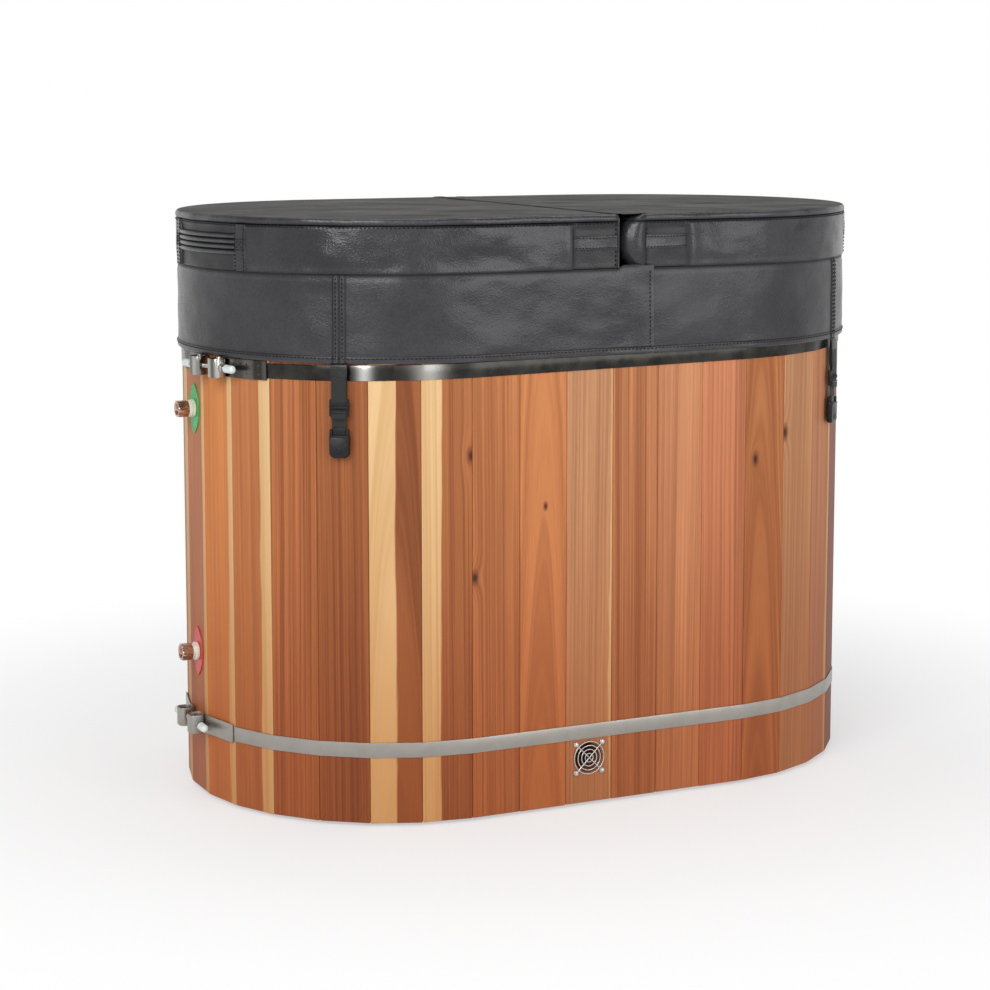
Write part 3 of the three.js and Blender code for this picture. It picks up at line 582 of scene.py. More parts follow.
def mill_color(graph, _, smudge):
    tone = srgb(164, 160, 153)
    return graph.mix(graph.span(smudge, 0.35, 0.7), tone, dimmed(tone, 0.92))


def painted_shade_and_glint_color(graph, along, smudge):
    """The upper hoop: painted shade under the cover's edge, and painted highlights as a few bright patches.
    """
    # Painted highlights: random glints along the hoop, and the listed patches
    bright = graph.span(graph.noise(graph.combine(along, 0.0, 2.0), 9.0, 2.0, 0.6), 0.64, 0.76, 0.0, 0.3)
    for middle, width, strength in PAINTED_GLINTS:
        from_middle = (along - middle) / width
        fall = graph.math("EXPONENT", from_middle * from_middle * -1.0)
        bright = graph.math("MAXIMUM", bright, fall * strength)
    # Painted shade and painted reflection of the dark cover above the hoop
    dark = graph.mix(graph.span(smudge, 0.3, 0.7), srgb(44, 43, 41), srgb(66, 64, 61))
    return graph.mix(bright, dark, srgb(205, 203, 197))


def painted_roll_reflection_color(graph, along, _):
    """The polished lugs: bright and dark bands across the strip as painted reflections, and painted shade on
    the tail.
    """
    band = graph.span(graph.noise(graph.combine(along, 0.0, 5.0), 34.0, 1.0), 0.42, 0.60)
    band = band * graph.span(along, LUG_TAIL - 0.004, LUG_TAIL + 0.004, 0.15, 1.0)
    return graph.mix(band, srgb(58, 57, 54), srgb(196, 194, 188))


def moulded(name, tone, worn, dull, stipple, most=0.7, **inputs):
    """Turned metal or moulded plastic. dull is the roughness between its handling marks, stipple its bump."""
    material, graph = new_material(name, **inputs)
    marks = graph.group(MOULDED, Place=graph.place())
    graph.surface(
        Base_Color=graph.mix(graph.span(marks["Marks"], 0.3, most), tone, worn),
        Roughness=graph.span(marks["Marks"], 0.3, 0.7, *dull),
        Normal=graph.bump(marks["Stipple"], *stipple),
    )
    return material


def turned_metal(name, tone, dull):
    return moulded(name, tone, dimmed(tone, 0.72), (dull - 0.06, dull + 0.1), (0.00004, 0.4), Metallic=1.0)


def plastic(name, tone, dull, **inputs):
    worn = dimmed(tone, 0.86, 0.004)
    return moulded(name, tone, worn, (dull - 0.06, dull + 0.06), (0.00006, 0.5), 0.75, **inputs)


def vinyl(name, tone, gloss, dent, specular):
    """Leather-grained vinyl; its shade attribute paints shade in creases above 0 and highlights on rolled
    edges below 0.
    """
    material, graph = new_material(name, Specular_IOR_Level=specular)
    marks = graph.group(VINYL_GRAIN, Place=graph.place())
    color = graph.mix(graph.span(marks["Mottle"], 0.36, 0.68), tone, dimmed(tone, 1.7))
    # shade scales the colour: painted shade where above 0, painted highlight where below 0
    shade = graph.attribute("shade", "Fac")
    level = graph.span(marks["Speck"], 0.3, 0.7, 0.72, 1.3, "LINEAR") * (shade * -0.9 + 1.0)
    dull = marks["Speck"] * 0.12 + graph.span(marks["Mottle"], 0.3, 0.7, -0.1, 0.0)
    dull = graph.math("MAXIMUM", shade, 0.0) * 0.3 + dull
    dents = graph.bump(marks["Dent"], dent)
    creases = graph.bump(marks["Crease"], 0.0016, 0.6, Normal=dents)
    graph.surface(
        Base_Color=graph.tint(color, graph.combine(level, level, level)),
        Roughness=dull + gloss,
        Normal=graph.bump(marks["Grain"], 0.0006, 0.6, Normal=creases),
    )
    return material


def webbing():
    """Woven tape: crosswise ribs and lengthwise cords, laid out along the tape."""
    material, graph = new_material("black_webbing", Sheen_Weight=0.05, Sheen_Roughness=0.4)
    across, along, _ = graph.split(graph.attribute("strip"))
    rib = graph.math("SINE", along * (2 * math.pi / RIB_PITCH))
    weave = rib * graph.math("SINE", across * (2 * math.pi / CORD_PITCH))
    shade = graph.span(weave, -1.0, 1.0, 0.0, 1.0, "LINEAR")
    graph.surface(
        Base_Color=graph.mix(shade, srgb(11, 11, 12), srgb(28, 28, 29)),
        Roughness=graph.span(shade, 0.0, 1.0, 0.72, 0.55, "LINEAR"),
        Normal=graph.bump(weave, 0.0003, 0.7),
    )
    return material


def bead_foam():
    material, graph = new_material("bead_foam", Specular_IOR_Level=0.2)
    bead = graph.add("ShaderNodeTexVoronoi", {"Vector": graph.place(), "Scale": 240.0}, "Distance")
    graph.surface(
        Base_Color=graph.mix(graph.span(bead, 0.2, 0.6), srgb(236, 235, 229), srgb(214, 212, 204)),
        Roughness=graph.span(bead, 0.0, 0.7, 0.8, 0.95),
        Normal=graph.bump(bead, 0.0008, 0.6),
    )
    return material


STAVE_CEDAR = stave_cedar()
PLANK_CEDAR = plank_cedar()
HOOP_STEEL = strip_steel("hoop_stainless", mill_color, (0.35, 0.42), 0.4, 0.00004)
# The upper hoop's stainless, with painted shade and painted highlights over it
PAINTED_SHADE_STEEL = strip_steel("shaded_stainless", painted_shade_and_glint_color, (0.2, 0.34))
# The upper lugs' stainless: painted reflections in bands, and painted shade on the tails and welds
LUG_STEEL = strip_steel("lug_stainless", painted_roll_reflection_color, (0.18, 0.32))
ROD_STEEL = turned_metal("rod_stainless", srgb(205, 204, 200), 0.28)
BRONZE = turned_metal("port_bronze", srgb(208, 172, 154), 0.24)
VINYL_SIDE = vinyl("charcoal_vinyl", srgb(35, 35, 38), 0.26, 0.016, 0.42)
VINYL_SKIRT = vinyl("skirt_vinyl", srgb(36, 36, 39), 0.30, 0.0085, 0.42)
# Top vinyl: more matte than the sides, and its base a little lighter as painted light from above
VINYL_TOP = vinyl("top_vinyl", srgb(40, 39, 36), 0.46, 0.016, 0.09)
VINYL_GRIP = vinyl("grip_vinyl", srgb(34, 34, 36), 0.22, 0.004, 0.45)
VINYL_TAB = vinyl("tab_vinyl", srgb(20, 20, 21), 0.3, 0.004, 0.35)
THREAD = plastic("seam_thread", srgb(11, 11, 12), 0.45, Specular_IOR_Level=0.2)
WEBBING = webbing()
BLACK_PLASTIC = plastic("black_acetal", srgb(15, 15, 16), 0.32, Specular_IOR_Level=0.3)
NYLON = plastic("natural_nylon", srgb(228, 222, 205), 0.45, Subsurface_Weight=0.08)
CAP_WHITE = plastic("cap_vinyl", srgb(228, 230, 226), 0.42, Subsurface_Weight=0.15)
TAG_GREEN = plastic("tag_green", srgb(34, 168, 74), 0.36)
TAG_RED = plastic("tag_red", srgb(204, 50, 42), 0.36)
FOAM = bead_foam()
# The upper hoop and its lugs take the finishes with painted shade and reflections; the lower ones take the
# plain mill finish
HOOP_FINISHES = {"lower": (HOOP_STEEL, HOOP_STEEL), "upper": (PAINTED_SHADE_STEEL, LUG_STEEL)}


# Meshes
def link(name, data):
    obj = bpy.data.objects.new(name, data)
    bpy.context.scene.collection.objects.link(obj)
    return obj


def worked(name, work, mesh, material, sharp):
    """The object of a work mesh, smooth up to the sharp angle in degrees."""
    work.to_mesh(mesh)
    work.free()
    mesh.shade_smooth()
    mesh.set_sharp_from_angle(angle=math.radians(sharp))
    mesh.materials.append(material)
    return link(name, mesh)


def mesh_object(name, verts, faces, material, sharp=35.0):
    mesh = bpy.data.meshes.new(name)
    mesh.from_pydata([tuple(v) for v in verts], [], faces)
    work = bmesh.new()
    work.from_mesh(mesh)
    bmesh.ops.recalc_face_normals(work, faces=work.faces)
    return worked(name, work, mesh, material, sharp)


def baked(obj):
    """Puts the mesh that an object's modifiers make in place of them."""
    graph = bpy.context.evaluated_depsgraph_get()
    mesh = bpy.data.meshes.new_from_object(obj.evaluated_get(graph))
    obj.modifiers.clear()
    obj.data = mesh
    return mesh


def joined(name, parts):
    """One object from several with the same kind of mesh data."""
    if len(parts) > 1:
        with bpy.context.temp_override(active_object=parts[0], selected_editable_objects=parts):
            bpy.ops.object.join()
    parts[0].name = name
    parts[0].data.name = name
    return parts[0]


def loft(name, rings, material, closed=False, sharp=35.0):
    """Closed sections joined in turn, capped at both ends unless the run closes on itself."""
    count = len(rings[0])
    verts = [point for ring in rings for point in ring]
    faces = []
    for ring in range(len(rings) if closed else len(rings) - 1):
        here = ring * count
        there = ((ring + 1) % len(rings)) * count
        for i in range(count):
            j = (i + 1) % count
            faces.append((here + i, here + j, there + j, there + i))
    if not closed:
        faces.append(tuple(range(count)))
        faces.append(tuple((len(rings) - 1) * count + i for i in range(count)))
    return mesh_object(name, verts, faces, material, sharp)


def set_vectors(obj, name, vectors):
    attribute = obj.data.attributes.new(name, "FLOAT_VECTOR", "POINT")
    attribute.data.foreach_set("vector", [c for v in vectors for c in v])


def set_shade(obj, shades):
    obj.data.attributes.new("shade", "FLOAT", "POINT").data.foreach_set("value", shades)


def evenly(start, end, steps):
    return [start + (end - start) * i / steps for i in range(steps + 1)]


def smooth(value, low, high):
    share = min(1.0, max(0.0, (value - low) / (high - low)))
    return share * share * (3 - 2 * share)


def ridge(distance, width):
    """1 on a line, falling off to either side of it."""
    return math.exp(-((distance / width) ** 2))


def arc(cx, cy, radius, start, end, steps):
    turns = [math.radians(turn) for turn in evenly(start, end, steps)]
    return [(cx + radius * math.cos(t), cy + radius * math.sin(t)) for t in turns]


def rounded_rectangle(width, height, radius, steps=4):
    x = width / 2 - radius
    y = height / 2 - radius
    points = []
    for cx, cy, start in ((x, y, 0), (-x, y, 90), (-x, -y, 180), (x, -y, 270)):
        points += arc(cx, cy, radius, start, start + 90, steps)
    return points


def turned(name, profile, place, material, steps=48, flats=None, twist=0.0, sharp=35.0):
    """Turned about local Y, outwards along -Y. Flats trim the sections to a hexagon across them."""
    rings = []
    for radius, outwards in profile:
        ring = []
        for i in range(steps):
            angle = 2 * math.pi * i / steps
            reach = radius
            if flats:
                from_flat = (angle + twist + math.pi / 6) % (math.pi / 3) - math.pi / 6
                reach = min(radius, flats / 2 / math.cos(from_flat))
            ring.append(place @ Vector((reach * math.cos(angle), -outwards, reach * math.sin(angle))))
        rings.append(ring)
    closed = profile[0] == profile[-1]
    return loft(name, rings[:-1] if closed else rings, material, closed, sharp)


def path_runs(path, closed):
    """The way that a path runs at each of its points."""
    count = len(path)
    runs = []
    for i in range(count):
        before = path[i - 1] if closed or i else path[0]
        after = path[(i + 1) % count] if closed or i + 1 < count else path[i]
        runs.append((after - before).normalized())
    return runs


def strip(name, path, width, thick, material):
    """A flat strip on edge along a plan path, with rounded edges and its own along-and-across layout."""
    section = rounded_rectangle(thick, width, thick * 0.36, 2)
    rings = []
    layout = []
    along = 0.0
    for i, (point, run) in enumerate(zip(path, path_runs(path, False))):
        if i:
            along += (point - path[i - 1]).length
        normal = Vector((run.y, -run.x, 0))
        rings.append([point + normal * t + Vector((0, 0, z)) for t, z in section])
        layout += [(along, z, t) for t, z in section]
    obj = loft(name, rings, material, sharp=40.0)
    set_vectors(obj, "strip", layout)
    return obj


def tube(name, path, radius, material, closed=False, sides=8):
    """A round wire or cord along a path in space."""
    turns = [2 * math.pi * k / sides for k in range(sides)]
    rings = []
    side = None
    for point, run in zip(path, path_runs(path, closed)):
        if side is None:
            side = run.orthogonal()
        side = (side - run * side.dot(run)).normalized()
        other = run.cross(side)
        rings.append([point + (side * math.cos(t) + other * math.sin(t)) * radius for t in turns])
    return loft(name, rings, material, closed, sharp=60.0)


def box_mesh(width, depth, height, middle):
    """Corners and faces of a block."""
    verts = [Vector((x * width / 2, y * depth / 2, z * height / 2)) + Vector(middle)
             for x in (-1, 1) for y in (-1, 1) for z in (-1, 1)]
    faces = [(0, 1, 3, 2), (4, 6, 7, 5), (0, 4, 5, 1), (2, 3, 7, 6), (0, 2, 6, 4), (1, 5, 7, 3)]
    return verts, faces


def cut_out(obj, cutter):
    """Takes the cutter's shape out of the object."""
    modifier = obj.modifiers.new("cut", "BOOLEAN")
    modifier.operation = "DIFFERENCE"
    modifier.solver = "EXACT"
    modifier.object = cutter
    baked(obj).set_sharp_from_angle(angle=math.radians(30))
    bpy.data.objects.remove(cutter)


def set_piece(obj, body, slot, *nodes):
    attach(obj, body)
    if nodes:
        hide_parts(*nodes)
    return obj


# Repeats grown by Geometry Nodes
def finished(graph, geometry, material):
    real = graph.add("GeometryNodeRealizeInstances", {"Geometry": geometry})
    return {"Geometry": graph.add("GeometryNodeSetMaterial", {"Geometry": real, "Material": material})}


def stitch_rows(graph, given):
    """Short thread beads at an even pitch along every path."""
    curve = graph.add("GeometryNodeMeshToCurve", {"Mesh": given["Geometry"]})
    inputs = {"Curve": curve, "Length": given["Pitch"]}
    points = graph.outputs(graph.node("GeometryNodeCurveToPoints", inputs, mode="LENGTH"))
    bead = graph.add("GeometryNodeMeshUVSphere", {"Segments": 6, "Rings": 4, "Radius": 0.5}, "Mesh")
    size = graph.combine(given["Width"], given["Width"], given["Length"])
    inputs = {"Points": points["Points"], "Instance": bead, "Rotation": points["Rotation"], "Scale": size}
    return finished(graph, graph.add("GeometryNodeInstanceOnPoints", inputs), given["Finish"])


def set_on_points(graph, given):
    """One object set on every point of the input, turned alike."""
    copied = graph.add("GeometryNodeObjectInfo", {"Object": given["Copied"]}, "Geometry")
    points = graph.add("GeometryNodeMeshToPoints", {"Mesh": given["Geometry"]})
    inputs = {"Points": points, "Instance": copied, "Rotation": given["Turn"]}
    return finished(graph, graph.add("GeometryNodeInstanceOnPoints", inputs), given["Finish"])


def threaded_rod(graph, given):
    """A rod along X with a helical thread."""
    radius = given["Radius"] - given["Ridge"]
    length = given["Length"]
    core = {"Vertices": 20, "Radius": radius, "Depth": length}
    core = graph.add("GeometryNodeMeshCylinder", core, "Mesh")
    helix = {"Resolution": 14, "Start Radius": radius, "End Radius": radius, "Height": length}
    helix = graph.add("GeometryNodeCurveSpiral", {**helix, "Rotations": given["Turns"]})
    profile = graph.add("GeometryNodeCurvePrimitiveCircle", {"Resolution": 4, "Radius": given["Ridge"]})
    inputs = {"Curve": helix, "Profile Curve": profile, "Fill Caps": True}
    thread = graph.add("GeometryNodeCurveToMesh", inputs)
    drop = graph.combine(0.0, 0.0, length * -0.5)
    thread = graph.add("GeometryNodeTransform", {"Geometry": thread, "Translation": drop})
    both = graph.node("GeometryNodeJoinGeometry")
    for part in (core, thread):
        graph.feed(both.inputs[0], part)
    inputs = {"Geometry": Value(graph, both.outputs[0]), "Rotation": (0.0, math.pi / 2, 0.0)}
    return finished(graph, graph.add("GeometryNodeTransform", inputs), given["Finish"])


GROWN = {"Geometry": "Geometry", "Finish": "Material"}
STITCHED = {**GROWN, "Pitch": "Float", "Length": "Float", "Width": "Float"}
COPIED = {**GROWN, "Copied": "Object", "Turn": "Vector"}
THREADED = {**GROWN, "Radius": "Float", "Length": "Float", "Turns": "Float", "Ridge": "Float"}
STITCH_ROWS = node_group("Geometry", "Stitch Rows", STITCHED, stitch_rows)
SET_ON_POINTS = node_group("Geometry", "Set On Points", COPIED, set_on_points)
THREADED_ROD = node_group("Geometry", "Threaded Rod", THREADED, threaded_rod)
SEAM_STITCH = {"Pitch": 0.0070, "Length": 0.0048, "Width": 0.0021, "Finish": THREAD}
FINE_STITCH = {"Pitch": 0.0058, "Length": 0.0041, "Width": 0.0019, "Finish": THREAD}
ZIP_TOOTH = {"Pitch": 0.0026, "Length": 0.0016, "Width": 0.0034, "Finish": BLACK_PLASTIC}


def grow(name, verts, edges, tree, values):
    """Runs a tree on a bare mesh and keeps the result as a plain mesh."""
    mesh = bpy.data.meshes.new(name)
    mesh.from_pydata([tuple(v) for v in verts], edges, [])
    obj = link(name, mesh)
    modifier = obj.modifiers.new("grow", "NODES")
    modifier.node_group = tree
    for item in tree.interface.items_tree:
        if item.in_out == "INPUT" and item.name in values:
            modifier[item.identifier] = values[item.name]
    baked(obj).shade_smooth()
    return obj


def copies(name, verts, copied, angle, finish):
    """A copy of an object on each point, turned alike about Z."""
    values = {"Copied": copied, "Turn": (0.0, 0.0, angle), "Finish": finish}
    return grow(name, verts, [], SET_ON_POINTS, values)


def stitches(name, rows, body, stitch=SEAM_STITCH, slot="vinyl"):
    """Sews along each row, a list of points."""
    verts = []
    edges = []
    for row in rows:
        first = len(verts)
        verts += row
        edges += [(first + i, first + i + 1) for i in range(len(row) - 1)]
    set_piece(grow(name, verts, edges, STITCH_ROWS, stitch), body, slot)


# Staves: tones, latewood contrast, sapwood edges and knots of those that show, as shares of the width
TONES = {
    "honey": srgb(200, 123, 66),
    "amber": srgb(184, 114, 66),
    "salmon": srgb(196, 130, 88),
    "rose": srgb(183, 114, 76),
    "tan": srgb(187, 131, 90),
    "sienna": srgb(178, 113, 70),
    "russet": srgb(172, 104, 60),
    "chestnut": srgb(161, 96, 53),
    "umber": srgb(149, 86, 44),
    "plum": srgb(136, 82, 62),
}
STAVE_TONES = {
    27: "salmon", 28: "rose", 29: "honey", 30: "amber", 31: "russet", 32: "umber", 33: "umber",
    34: "chestnut", 35: "amber", 36: "amber", 37: "tan", 0: "sienna", 1: "salmon", 2: "rose",
    3: "amber", 4: "tan", 5: "salmon", 6: "plum",
}
LINED = {28: 0.35, 29: 0.3, 30: 0.5, 31: 1.0, 32: 0.8, 33: 0.9, 34: 0.75, 35: 0.75, 36: 0.55, 37: 0.6,
         0: 0.95, 1: 0.65, 2: 0.75, 3: 0.9, 4: 0.55, 5: 0.7}
SAP_EDGES = {27: (-0.1, 1), 28: (0.36, 1), 29: (0.34, 1), 30: (0.22, 1), 33: (0.02, -1), 34: (-0.12, -1),
             37: (0.44, 1), 5: (0.38, 1)}
KNOTS = {34: (0.47, 0.622, 0.0065), 35: (-0.46, 0.417, 0.0055), 36: (0.04, 0.528, 0.0034),
         3: (-0.24, 0.580, 0.0058), 4: (-0.46, 0.622, 0.0066)}
FLAT_SAWN = (33, 3, 36)
FLAT_SWAY = 0.030
PLAIN_SWAY = 0.007
SAP_STRENGTH = 0.92
NO_KNOT = (0.5, 5.0, 0.004)
NO_SAP = (0.9, 1)
PLANED = 0.999  # facing of a board's flat sides


def stave_outline(stave, croze):
    """Plan outline: eased outer corners, a bead on the last edge and a cove on the first."""
    gap = GAP / 2 / PITCH
    ease = EASE / PITCH
    start = stave + gap
    end = stave + 1 - gap
    deep = -STAVE_THICK + (CROZE_DEPTH if croze else 0)
    bends = [math.pi / 2 * i / EASE_STEPS for i in range(EASE_STEPS + 1)]
    points = [face_point(start + ease * (1 - math.cos(b)), EASE * (math.sin(b) - 1)) for b in bends]
    points += [face_point(end - ease * (1 - math.cos(b)), EASE * (math.sin(b) - 1)) for b in reversed(bends)]
    normal = face_normal(stave)
    run = Vector((-normal.y, normal.x, 0))
    bead = face_point(end, -STAVE_THICK / 2)
    cove = face_point(start, -STAVE_THICK / 2)
    points += [bead + run * x + normal * y for x, y in arc(0, 0, BEAD_RADIUS, 90, -90, BEAD_STEPS)]
    points += [face_point(end, deep), face_point(start, deep)]
    points += [cove + run * x + normal * y for x, y in arc(0, 0, BEAD_RADIUS + GAP, -88, 88, BEAD_STEPS)]
    return points


def stave(number, chance):
    """One stave, with its own place, tone, pith, sapwood and knot written on it."""
    normal = face_normal(number)
    run = Vector((-normal.y, normal.x, 0))
    middle = face_point(number + 0.5, -STAVE_THICK / 2)
    width = (offset_joint(number + 1, 0) - offset_joint(number, 0)).length
    top = STAVE_TOP - chance.uniform(0, 0.0006)
    low = STAVE_LOW + chance.uniform(0, 0.0008)
    levels = [
        (low, True, False),
        (low + STAVE_CHAMFER, False, False),
        (FLOOR_LOW - GAP, False, False),
        (FLOOR_LOW - GAP, False, True),
        (FLOOR_HIGH + GAP, False, True),
        (FLOOR_HIGH + GAP, False, False),
        (top - STAVE_CHAMFER, False, False),
        (top, True, False),
    ]
    rings = []
    for z, drawn_in, croze in levels:
        ring = []
        for point in stave_outline(number, croze):
            from_middle = point - middle
            if drawn_in:
                from_middle -= run * from_middle.dot(run) * (2 * STAVE_CHAMFER / width)
                from_middle -= normal * from_middle.dot(normal) * (2 * STAVE_CHAMFER / STAVE_THICK)
            ring.append(middle + from_middle + Vector((0, 0, z)))
        rings.append(ring)
    obj = loft("stave", rings, STAVE_CEDAR, sharp=30.0)
    holes = []
    if number == int(PORT_STAVE):
        holes = [(STEM_RADIUS + GAP, z) for z in PORT_LEVELS.values()]
    if number == int(VENT_STAVE):
        holes = [(VENT_HOLE, VENT_LEVEL)]
    for radius, z in holes:
        profile = [(radius, -2 * STAVE_THICK), (radius, STAVE_THICK)]
        cut_out(obj, turned("drill", profile, face_frame(number + 0.5, 0, z), STAVE_CEDAR))
    for polygon in obj.data.polygons:
        if abs(polygon.normal.dot(normal)) > PLANED:
            polygon.use_smooth = False
    write_board(obj, number, middle, run, normal, width, chance)
    return obj


def write_board(obj, number, middle, run, normal, width, chance):
    """Writes a board's own layout, pith, sapwood edge, knot, figure and tone on its mesh."""
    start = chance.uniform(0, 40)
    board = []
    for vertex in obj.data.vertices:
        from_middle = vertex.co - middle
        board.append((from_middle.dot(run), from_middle.dot(normal), vertex.co.z))
    set_vectors(obj, "board", board)
    if number in FLAT_SAWN:
        pith = (chance.uniform(-0.012, 0.012), -chance.uniform(0.05, 0.09), start)
        sway = FLAT_SWAY
    else:
        pith = (chance.choice((-1, 1)) * chance.uniform(0.2, 0.5), -chance.uniform(0.02, 0.1), start)
        sway = PLAIN_SWAY
    contrast = chance.uniform(0.3, 0.8)
    tone = TONES[STAVE_TONES.get(number) or chance.choice(list(TONES))]
    lift = chance.uniform(0.94, 1.06)
    spread = (chance.choice((0.3, 0.38, 0.9, 0.9, 0.9)), chance.choice((-1, 1)))
    edge, side = SAP_EDGES.get(number, NO_SAP if number in STAVE_TONES else spread)
    across, along, size = KNOTS.get(number, NO_KNOT)
    facts = {
        "pith": pith,
        "sap": (edge * width if number in SAP_EDGES else edge * side * width, side, SAP_STRENGTH),
        "knot": (across * width, along, size),
        "figure": (sway, LINED.get(number, contrast), 0.0),
    }
    faces = len(obj.data.polygons)
    for name, value in facts.items():
        attribute = obj.data.attributes.new(name, "FLOAT_VECTOR", "FACE")
        attribute.data.foreach_set("vector", value * faces)
    attribute = obj.data.attributes.new("tone", "FLOAT_COLOR", "FACE")
    attribute.data.foreach_set("color", [c * lift for c in tone] * faces)


def stave_wall():
    chance = random.Random(38)
    for pair in range(STAVES // 2):
        staves = [stave(2 * pair, chance), stave(2 * pair + 1, chance)]
        node = f"stave_pair_{pair + 1:02d}"
        set_piece(joined(node + "_boards", staves), "tub", "cedar", node)
    for node in ("floor", "runner_front", "runner_centre", "runner_back"):
        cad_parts[node].data.materials.clear()
        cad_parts[node].data.materials.append(PLANK_CEDAR)


stave_wall()


# Hoops and clamps
def face_path(start, end, offset, bend=0.007):
    """Plan path along the faces, with a strip's soft bend at each joint."""
    points = [face_point(start, offset)]
    reach = bend / PITCH
    for joint in range(math.floor(start) + 1, math.ceil(end)):
        before = face_point(joint - reach, offset)
        corner = offset_joint(joint, offset)
        after = face_point(joint + reach, offset)
        for i in range(5):
            t = i / 4
            points.append(before.lerp(corner, t).lerp(corner.lerp(after, t), t))
    points.append(face_point(end, offset))
    return points


def clamp_place(turn):
    """Where the clamp's middle stands, as a stave number with a fraction."""
    return (PORT_STAVE * PITCH + turn) / PITCH


def eye_place(clamp, side):
    return clamp + side * EYE_SPACING / 2 / PITCH


def rod_line(clamp):
    """The clamp rod's place, with local X along it, the eyes' distance apart and their tilt."""
    eyes = [face_frame(eye_place(clamp, side), TAIL_IN, 0) for side in (-1, 1)]
    first, last = [eye @ Vector((0, -EYE_SIZE / 2, 0)) for eye in eyes]
    line = last - first
    angle = math.atan2(line.y, line.x)
    normals = [eye.to_3x3() @ Vector((0, -1, 0)) for eye in eyes]
    place = Matrix.Translation((first + last) / 2) @ Matrix.Rotation(angle, 4, "Z")
    return place, line.length, normals[0].angle(normals[1]) / 2


def lug(name, clamp, side, finish):
    """A strip rolled into a square eye, its long tail welded along the hoop."""
    near = eye_place(clamp, side)
    far = near + side * LUG_TAIL / PITCH
    tail = face_path(min(near, far), max(near, far), TAIL_IN + LUG_THICK / 2)
    if side > 0:
        tail.reverse()
    place = face_frame(near, TAIL_IN, 0)
    half = (EYE_SIZE - LUG_THICK) / 2
    low = LUG_THICK / 2
    high = EYE_SIZE - low
    bend = EYE_CORNER - low
    seat = 1.5 * LUG_THICK + GAP
    roll = arc(-half + bend, low + bend, bend, -90, -180, 6)
    roll += arc(-half + bend, high - bend, bend, 180, 90, 6)
    roll += arc(half - bend, high - bend, bend, 90, 0, 6)
    roll += arc(half - bend, seat + bend, bend, 0, -90, 6)
    roll.append((-half + bend, seat))
    path = tail + [place @ Vector((side * x, -out, 0)) for x, out in roll]
    obj = strip(name, path, LUG_HEIGHT, LUG_THICK, finish)
    rod, spacing, _ = rod_line(clamp)
    bore = ROD_RADIUS + 0.0006
    along_rod = rod @ Matrix.Rotation(math.pi / 2, 4, "Z")
    cut_out(obj, turned("drill", [(bore, -spacing), (bore, spacing)], along_rod, finish))
    lay_out(obj, path)
    return obj


def lay_out(obj, path):
    """Writes each point's distance along a plan path and its height, for the brushed finish."""
    runs = [0.0]
    for before, after in zip(path, path[1:]):
        runs.append(runs[-1] + (after - before).length)
    layout = []
    for vertex in obj.data.vertices:
        flat = vertex.co.xy
        nearest = min(range(len(path)), key=lambda i: (path[i].xy - flat).length_squared)
        layout.append((runs[nearest], vertex.co.z, 0.0))
    obj.data.attributes.remove(obj.data.attributes["strip"])
    set_vectors(obj, "strip", layout)


def tail_welds(name, clamp, side, finish):
    """Shallow spot welds on a lug's tail, one set for each face that it crosses."""
    profile = [(0.0004, 0.00008), (0.0014, 0.00006), (0.0019, 0.00014), (WELD_RADIUS, -0.0002)]
    weld = turned("weld", profile, Matrix.Identity(4), finish, steps=12)
    near = eye_place(clamp, side)
    spots = {}
    for i in range(WELDS):
        place = near + side * (WELD_START + i * WELD_SPACING) / PITCH
        point = face_point(place, TAIL_IN + LUG_THICK)
        pair = [(point.x, point.y, -WELD_RISE), (point.x, point.y, WELD_RISE)]
        spots.setdefault(math.floor(place), []).extend(pair)
    grown = [copies(name, verts, weld, face_angle(face), finish) for face, verts in spots.items()]
    bpy.data.objects.remove(weld)
    return joined(name, grown)


def hex_nut(name, place, flats, thick, bore, material, twist=0.0):
    tip = flats / math.sqrt(3)
    rim = flats / 2 * 1.02
    drop = (tip - rim) * 0.6
    profile = [(bore, 0), (rim, 0), (tip, drop), (tip, thick - drop), (rim, thick), (bore, thick), (bore, 0)]
    return turned(name, profile, place, material, 48, flats, twist)


def clamp_rod(name, clamp, level):
    """Threaded rod with a nut outside each eye and a soft cap on each end."""
    line, spacing, tilt = rod_line(clamp)
    place = level @ line
    tip = NUT_FLATS / math.sqrt(3)
    seat = EYE_SIZE / 2 / math.cos(tilt) + tip * math.tan(tilt) + GAP
    nut_from = spacing / 2 + seat
    half = nut_from + NUT_THICK + ROD_TAIL
    values = {"Radius": ROD_RADIUS, "Length": 2 * half, "Turns": 2 * half / THREAD_PITCH}
    values.update({"Ridge": THREAD_DEPTH, "Finish": ROD_STEEL})
    rod = grow(name, [(0, 0, 0)], [], THREADED_ROD, values)
    rod.data.transform(place)
    parts = [rod]
    for side in (-1, 1):
        turn = Matrix.Rotation(side * math.pi / 2, 4, "Z")
        nut = place @ Matrix.Translation((side * nut_from, 0, 0)) @ turn
        parts.append(hex_nut(name, nut, NUT_FLATS, NUT_THICK, ROD_RADIUS * 0.98, ROD_STEEL))
        cap = place @ Matrix.Translation((side * (half - CAP_DEPTH + GAP), 0, 0)) @ turn
        end = "back" if side < 0 else "front"
        dome = arc(CAP_RADIUS - CAP_DOME, CAP_LENGTH - CAP_DOME, CAP_DOME, 0, 86, 8)
        bore = ROD_RADIUS + GAP
        profile = [(bore, CAP_DEPTH), (bore, 0), (CAP_RADIUS - 0.0006, 0), (CAP_RADIUS + 0.0002, 0.0007),
                   (CAP_RADIUS + 0.0002, 0.002), (CAP_RADIUS, 0.0028)]
        node = f"{name}_rod_cap_{end}"
        piece = turned(node + "_sleeve", profile + dome, cap, CAP_WHITE, 32, sharp=50.0)
        set_piece(piece, "tub", "cap_white", node)
    set_piece(joined(f"{name}_rod_and_nuts", parts), "tub", "stainless", f"{name}_clamp_rod")


